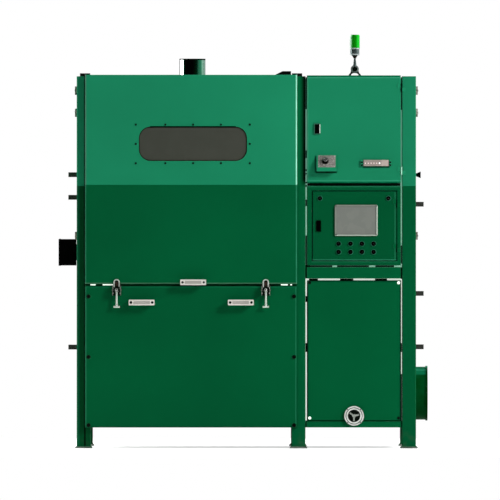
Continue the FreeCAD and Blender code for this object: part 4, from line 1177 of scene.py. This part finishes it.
# Locks
# The upper door's slot lock sits in a rim gone green-grey; a bright lip on its right is a painted
# highlight on that edge. A small disc closes the key hole of each of the control door's two round locks.
lock_rim = round_ring((0.386, -0.6625, 1.791), (0.4205, -0.655, 1.853), 0.004, 0.0042, 3)
rim_metal = metal_finish(
    "rim_metal", (0.050, 0.20, 0.13), (0.020, 0.12, 0.07), 0.45, 0.05, 0.0002, {"Metallic": 0.4},
)
finish_piece(lock_rim, "slot_lock_rim", rim_metal, "upper_door")
lock_lip = start_block((0.4165, -0.6640, 1.797), (0.4212, -0.6560, 1.848))
soften(lock_lip, forward, 0.0012)
finish_piece(lock_lip, "slot_lock_lip", lever_bright, "upper_door")
inner_front = -0.658
lock_spots = [(x, inner_front, 1.426) for x in (0.4195, 0.810)]
screw_row(
    "key_discs", [(x, y - 0.005, z) for x, y, z in lock_spots], 0.0026, 0.0012, dark_grip,
    "inner_door", sides=16,
)

# Screen bezel
# A grey panel-mounted screen sits in a softly bevelled bezel, lighter than its matt glass.
bezel = round_ring((0.504, -0.6685, 1.212), (0.748, -0.665, 1.389), 0.008, 0.0085, 5)
soften(bezel, forward, 0.0012)


def make_bezel_finish():
    """Grey moulding with painted highlights along its right and lower bars."""
    material, tree, shader = new_finish("bezel_finish", Specular_IOR_Level=0.1)
    skin = use_effect(
        tree, moulded_surface, Colour=(0.175, 0.195, 0.165, 1), Pale=(0.22, 0.24, 0.21, 1),
        Roughness=0.4,
    )
    at = own_place(tree)[1]
    right = remap(tree, at["X"], 0.7410 + shift_x, 0.7425 + shift_x)
    low = remap(tree, at["Z"], 1.2190, 1.2175, 0.0, 0.75)
    bezel_highlight = reckon(tree, "MAXIMUM", right, low)
    complete(tree, shader, skin, tinted(tree, skin["Color"], (bezel_highlight, (0.42, 0.50, 0.43, 1))))
    return material


finish_piece(bezel, "screen_bezel", make_bezel_finish(), "inner_door")

# Push button caps
# Each black button has a raised cap inside a thin collar and a small pale dot in its middle. The
# two round locks have the same collars.
button_front = -0.664
button_places = [
    (x, button_front, z) for z in (1.1675, 1.1205) for x in (0.526, 0.5935, 0.659, 0.7255)
]
collar_green = moulded_finish(
    "collar_green", (0.020, 0.155, 0.090), (0.040, 0.21, 0.13), 0.5, 0.1, 0.0002,
    {"Specular_IOR_Level": 0.02},
)
screw_row(
    "button_caps", button_places, 0.0098, 0.0032, black_plastic, "inner_door",
    sides=28,
)
screw_row(
    "button_collars", [(x, inner_front, z) for x, y, z in button_places], 0.0156, 0.0012,
    collar_green, "inner_door", sides=28,
)
screw_row(
    "lock_collars", lock_spots, 0.0152, 0.0012, collar_green, "inner_door", sides=28,
)
screw_row(
    "button_dots", [(x, y - 0.0018, z) for x, y, z in button_places], 0.0018, 0.0010, dark_grip,
    "inner_door", sides=12,
)

# Service panel screws
# Four corner screws hold the lower panel; two are pale, in the seal's finish with its painted glow, and
# two are black.
bay_face = -0.655
screw_row(
    "panel_screws_bright", [(0.868, bay_face, 0.945), (0.361, bay_face, 0.174)], 0.0085, 0.003,
    pale_seal, "frame",
)
screw_row(
    "panel_screws_dark", [(0.361, bay_face, 0.945), (0.868, bay_face, 0.174)], 0.0085, 0.003,
    black_screw, "frame",
)

# Drain fitting
# A turned steel flange with a dish, a seal groove near its rim and four small screws; dish, groove and
# outer edge are painted dark as shade.
drain_middle = (0.614, 0.186)
drain_face = -0.671
drain_screw_radius = 0.0520


def around(radius, turns):
    """Steps round a circle, at angles in degrees."""
    return [
        (radius * math.cos(math.radians(turn)), radius * math.sin(math.radians(turn)))
        for turn in turns
    ]


def make_drain_finish():
    """Turned steel with painted shade inside the dish, in the groove and round the outer edge, by the
    distance from its middle.
    """
    material, tree, shader = new_finish("drain_finish", Specular_IOR_Level=0.05)
    metal = use_effect(
        tree, rolled_metal, Bright=(0.88, 0.90, 0.86, 1), Dull=(0.50, 0.53, 0.49, 1),
        Cloud_Scale=30.0,
    )
    centre = (drain_middle[0] + shift_x, 0.0, drain_middle[1])
    from_centre = reckon_vector(tree, "SUBTRACT", own_place(tree)[0], centre)
    far = reckon_vector(
        tree, "LENGTH", reckon_vector(tree, "MULTIPLY", from_centre, (1.0, 0.0, 1.0)),
    )
    dish = remap(tree, far, 0.0365, 0.0350)
    groove = multiply(
        tree, remap(tree, far, 0.0435, 0.0445), remap(tree, far, 0.0490, 0.0480), 0.85,
    )
    edge = remap(tree, far, 0.0550, 0.0565)
    drain_shade = reckon(tree, "MAXIMUM", reckon(tree, "MAXIMUM", dish, groove), edge)
    colour = tinted(tree, metal["Color"], (drain_shade, (0.0015, 0.004, 0.002, 1)))
    complete(tree, shader, metal, colour, Metallic=remap(tree, drain_shade, 0.0, 1.0, 0.4, 0.0))
    return material


dress(make_drain_finish(), "drain_fitting")
grip_steel = metal_finish(
    "grip_steel", (0.46, 0.50, 0.45), (0.10, 0.12, 0.10), 0.35, 0.2, 0.0003, {"Metallic": 0.3},
    Cloud_Scale=90.0,
)
dress(grip_steel, "drain_handle")
drain_screws = [
    (drain_middle[0] + across, drain_face, drain_middle[1] + up)
    for across, up in around(drain_screw_radius, (45, 135, 225, 315))
]
screw_row("drain_screws", drain_screws, 0.0030, 0.0015, black_screw, "frame", sides=16)

# Duct rim and collar screws
# The spigot's free end ends in a dark rubber ring; six screws hold its collar down.
bead_tall = 0.0085
bead_sunk = 0.0005
collar_screw_radius = 0.091
rim_bead = start_shape(
    bpy.ops.mesh.primitive_cylinder_add,
    Vector((*duct_middle, duct_top + bead_tall / 2 - bead_sunk)) + shift,
    vertices=72, radius=duct_radius - 0.0002, depth=bead_tall,
)
pick_faces(rim_bead, lambda face: abs(face.normal.z) > 0.9)
bpy.ops.mesh.inset(thickness=0.0034, depth=0)
bpy.ops.mesh.bridge_edge_loops()
finish_piece(rim_bead, "duct_rim_bead", foam_rubber, "frame", 50)
collar_screws = [
    (duct_middle[0] + across, duct_middle[1] + back, collar_top)
    for across, back in around(collar_screw_radius, range(30, 360, 60))
]
screw_row(
    "collar_screws", collar_screws, 0.0062, 0.0045, black_screw, "frame", (0, 0, 1), 16,
)

# Beacon
# A pressed cup under a clear lens, which a pale ring clamps. A dark funnel guides the cable into
# the stem, and a grey washer with a dark cap covers the joint over its arched foot.
beacon_place = (0.619, -0.500)
beacon_pivot = 2.164
arch_low = 2.1140


def make_lens_finish():
    """Clear green plastic with painted highlights near its left and right edges, white at the far left.
    """
    material, tree, shader = new_finish("green_lens", IOR=1.49, Specular_IOR_Level=0.04)
    skin = use_effect(
        tree, moulded_surface, Colour=(0.001, 0.17, 0.001, 1), Pale=(0.003, 0.24, 0.003, 1),
        Roughness=0.22,
    )
    across = own_place(tree)[1]["X"]
    middle = beacon_place[0] + shift_x
    colour = tinted(tree, skin["Color"], *(
        (remap(tree, across, middle + start, middle + end), tint) for start, end, tint in (
            (0.006, 0.017, (0.008, 0.44, 0.022, 1)), (-0.012, -0.020, (0.10, 0.62, 0.13, 1)),
            (-0.0190, -0.0210, (0.66, 0.95, 0.74, 1)),
        )
    ))
    complete(tree, shader, skin, colour)
    return material


def turned_ring(name, radius, low, high, step):
    """A round collar about the beacon's upright axis with a bevelled rim at both ends."""
    ring = start_shape(
        bpy.ops.mesh.primitive_cylinder_add, Vector((*beacon_place, (low + high) / 2)) + shift,
        vertices=40, radius=radius, depth=high - low,
    )
    pick_faces(ring, lambda face: abs(face.normal.z) > 0.9)
    bpy.ops.mesh.bevel(offset=step, segments=3)
    finish_piece(ring, name, cup_grey, "beacon")


def turned_cone(name, height, sides, low_radius, high_radius, tall, step, segments, material):
    """A cone about the beacon's upright axis with a softened upper rim."""
    cone = start_shape(
        bpy.ops.mesh.primitive_cone_add, Vector((*beacon_place, height)) + shift,
        vertices=sides, radius1=low_radius, radius2=high_radius, depth=tall,
    )
    finish_piece(soften(cone, (0, 0, 1), step, segments), name, material, "beacon", 40)


dress(make_lens_finish(), "beacon_lens")
cup_grey = metal_finish(
    "cup_grey", (0.60, 0.66, 0.66), (0.24, 0.28, 0.28), 0.35, 0.10, 0.0002, {"Metallic": 0.3},
    Cloud_Scale=50.0,
)
joint_grey = metal_finish(
    "joint_grey", (0.26, 0.30, 0.29), (0.05, 0.06, 0.06), 0.4, 0.10, 0.0002, {"Metallic": 0.3},
    Cloud_Scale=60.0,
)
turned_ring("lens_clamp_ring", 0.0284, 2.2785, 2.2855, 0.001)
turned_ring("cup_lower_ring", 0.0268, 2.2440, 2.2520, 0.002)
turned_cone("cable_funnel", 2.2345, 32, 0.0068, 0.0165, 0.017, 0.0015, 3, rubber)
turned_cone("stem_root", beacon_pivot + 0.035, 24, 0.0105, 0.0062, 0.034, 0.001, 2, beacon_metal)
joint_face = (beacon_place[0], beacon_place[1] - 0.005, beacon_pivot)
screw_row("joint_washer", [joint_face], 0.0234, 0.0014, joint_grey, "beacon", sides=40)
arch = start_shape(
    bpy.ops.mesh.primitive_torus_add,
    Vector((beacon_place[0], beacon_place[1] + 0.0100, 2.1105)) + shift, (math.radians(90), 0, 0),
    major_radius=0.0358, minor_radius=0.0046, major_segments=72, minor_segments=10,
)
bpy.ops.object.mode_set(mode="EDIT")
bpy.ops.mesh.select_all(action="SELECT")
bpy.ops.mesh.bisect(plane_co=(0, 0, arch_low), plane_no=(0, 0, 1), use_fill=True, clear_inner=True)
finish_piece(arch, "beacon_foot_arch", black_plastic, "frame", 50)
joint_cap = (joint_face[0] + 0.001, joint_face[1] - 0.0014, joint_face[2] + 0.001)
screw_row("joint_cap", [joint_cap], 0.0135, 0.0050, black_screw, "beacon", sides=32)

# Side panels
# Pan-head screws hold the three sheets of each side along their edges. Two more sit in every clamp
# plate near the front.
side_face = 0.963
plate_face = 0.978
screw_inset = 0.016
panel_rows = ((0.124, 0.936), (0.944, 1.496), (1.504, 2.102))
panel_spots = [
    (y, z) for low, high in panel_rows
    for z in (low + screw_inset, low + 0.6 * (high - low), high - screw_inset)
    for y in (-0.555, 0.555)
]
panel_spots += [
    (y, z) for low, high in panel_rows for z in (low + screw_inset, high - screw_inset)
    for y in (-0.277, 0.0, 0.277)
]
plate_spots = [(y, z) for z in (2.041, 1.9145, 1.2125) for y in (-0.543, -0.513)]
for label, way in (("left", -1), ("right", 1)):
    for kind, face, spots, radius in (
        ("_panel_screws", side_face, panel_spots, 0.0065),
        ("_plate_screws", plate_face, plate_spots, 0.0062),
    ):
        screw_row(
            label + kind, [(way * face, y, z) for y, z in spots], radius, 0.0035, zinc_steel,
            "frame", (way, 0, 0), 16,
        )

# Terminal box
# The moulded box has a lid on its outer side, pressed down over a lip, and two cable glands at
# its back.
box_lid = start_block((-1.0725, -0.4215, 1.0415), (-1.0610, -0.2085, 1.1955))
soften(box_lid, (-1, 0, 0), 0.002, 3)
finish_piece(box_lid, "terminal_box_lid", black_plastic, "frame")
nut_tall = 0.009
glands = [(-1.030, -0.210, z) for z in (1.090, 1.146)]
screw_row("gland_nuts", glands, 0.0150, nut_tall, black_plastic, "frame", (0, 1, 0), 6)
screw_row(
    "gland_domes", [(x, y + nut_tall, z) for x, y, z in glands], 0.0115, 0.0140, rubber, "frame",
    (0, 1, 0), 28,
)

# Guard flange
# A thin flange, painted with the guard, holds it to the side by eight hexagon bolts.
guard_height = 0.310
flange_bolt_radius = 0.159
flange = start_shape(
    bpy.ops.mesh.primitive_cylinder_add, Vector((0.9642, 0.0, guard_height)) + shift,
    (0, math.radians(90), 0), vertices=72, radius=0.166, depth=0.0025,
)
soften(flange, (1, 0, 0), 0.0008)
finish_piece(flange, "guard_flange", green_paint, "frame")
flange_bolts = [
    (0.9654, back, guard_height + up) for back, up in around(flange_bolt_radius, range(22, 360, 45))
]
screw_row(
    "guard_bolts", flange_bolts, 0.0048, 0.0040, zinc_steel, "frame", (1, 0, 0), 6,
)

# Back panels
# Screws run round the four sheets of the back, and the upper sheet behind the cabinet is pressed
# out into nine louvres for cooling.
back_face = 0.646
louvre_pitch = 0.026
back_spots = [
    (x, z) for x in (-0.870, -0.590, -0.315, -0.040, 0.240, 0.354, 0.612, 0.870)
    for z in (0.140, 0.920, 0.960, 2.086)
]
back_spots += [(x, z) for x in (-0.870, 0.240, 0.354, 0.870) for z in (0.530, 1.340, 1.710)]
screw_row(
    "back_screws", [(x, back_face, z) for x, z in back_spots], 0.0065, 0.0035, zinc_steel, "frame",
    (0, 1, 0), 16,
)
louvre = start_block((0.470, back_face - 0.0005, 1.600), (0.755, back_face + 0.0080, 1.613))
soften(louvre, (0, 1, 0), 0.0065, 5)
repeat(louvre, [(0, 0, louvre_pitch * count) for count in range(1, 9)])
finish_piece(louvre, "back_louvres", green_paint, "frame", 50)

# Barrel lid
# The loading lid lies on one flat of the six-sided barrel. Two flat bars press it down, each with
# a star nut at both ends, and a rubber seal shows round its edge.
flat_tilt = math.radians(-30)
flat_way = Vector((0, -math.cos(flat_tilt), -math.sin(flat_tilt)))
flat_up = Vector((0, -math.sin(flat_tilt), math.cos(flat_tilt)))
flat_middle = Vector((-0.320, -0.300, 1.0551 + 0.1732))
lid_rims = (0.024, 0.004)


def barrel_plate(name, x, rise, size, edge, material, sunk=0.0):
    """A plate lying on the barrel's flat; its face may be sunk inside a raised rim."""
    plate = start_shape(
        bpy.ops.mesh.primitive_cube_add,
        flat_middle + Vector((x, 0, 0)) + flat_way * (rise + size[1] / 2) + shift,
        (flat_tilt, 0, 0), size=1, scale=size,
    )
    if sunk:
        sink_faces(plate, facing(flat_way), lid_rims, -flat_way * sunk)
    else:
        soften(plate, flat_way, edge)
    finish_piece(plate, name, material, "frame")


barrel_plate("barrel_lid_seal", 0, 0, (0.700, 0.006, 0.316), 0.001, rubber)
barrel_plate("barrel_lid", 0, 0.006, (0.690, 0.008, 0.306), 0.002, bare_steel, 0.004)
star_nuts = []
for label, x in (("left", -0.230), ("right", 0.230)):
    barrel_plate(
        "lid_bar_" + label, x, 0.0141, (0.045, 0.010, 0.372), 0.002, zinc_steel,
    )
    star_nuts += [
        flat_middle + Vector((x, 0, 0)) + flat_way * 0.0241 + flat_up * along
        for along in (-0.170, 0.170)
    ]
screw_row(
    "lid_star_nuts", star_nuts, 0.0170, 0.0160, black_plastic, "frame", flat_way, 10,
)

# Cabinet fittings
# Behind the upper door the zinc plated plate carries slotted cable trunks and rows of switching
# devices on mounting rails.
plate_front = -0.250
device_gap = 0.004
trunk_grey = moulded_finish(
    "trunk_grey", (0.30, 0.31, 0.31), (0.40, 0.41, 0.41), 0.5, 0.1, 0.0003,
    {"Specular_IOR_Level": 0.2},
)
for count, z in enumerate((1.560, 1.770, 1.980)):
    trunk = start_block((0.400, plate_front - 0.060, z), (0.824, plate_front, z + 0.040))
    sink_faces(trunk, facing(forward), (0.003,), (0, -0.002, 0))
    finish_piece(trunk, "cable_trunk_%d" % count, trunk_grey, "frame")
for row, (z, wide, count, finish) in enumerate((
    (1.630, 0.034, 10, black_plastic), (1.842, 0.050, 7, trunk_grey),
)):
    device = start_block((0.415, plate_front - 0.072, z), (0.415 + wide - 0.002, plate_front, z + 0.088))
    pick_faces(device, facing(forward))
    bpy.ops.mesh.inset(thickness=0.004, depth=0)
    bpy.ops.mesh.extrude_region_move(TRANSFORM_OT_translate={"value": (0, -0.006, 0)})
    bpy.ops.mesh.bevel(offset=0.001, segments=2)
    repeat(device, [((wide + device_gap) * step, 0, 0) for step in range(1, count)])
    finish_piece(device, "device_row_%d" % row, finish, "frame")
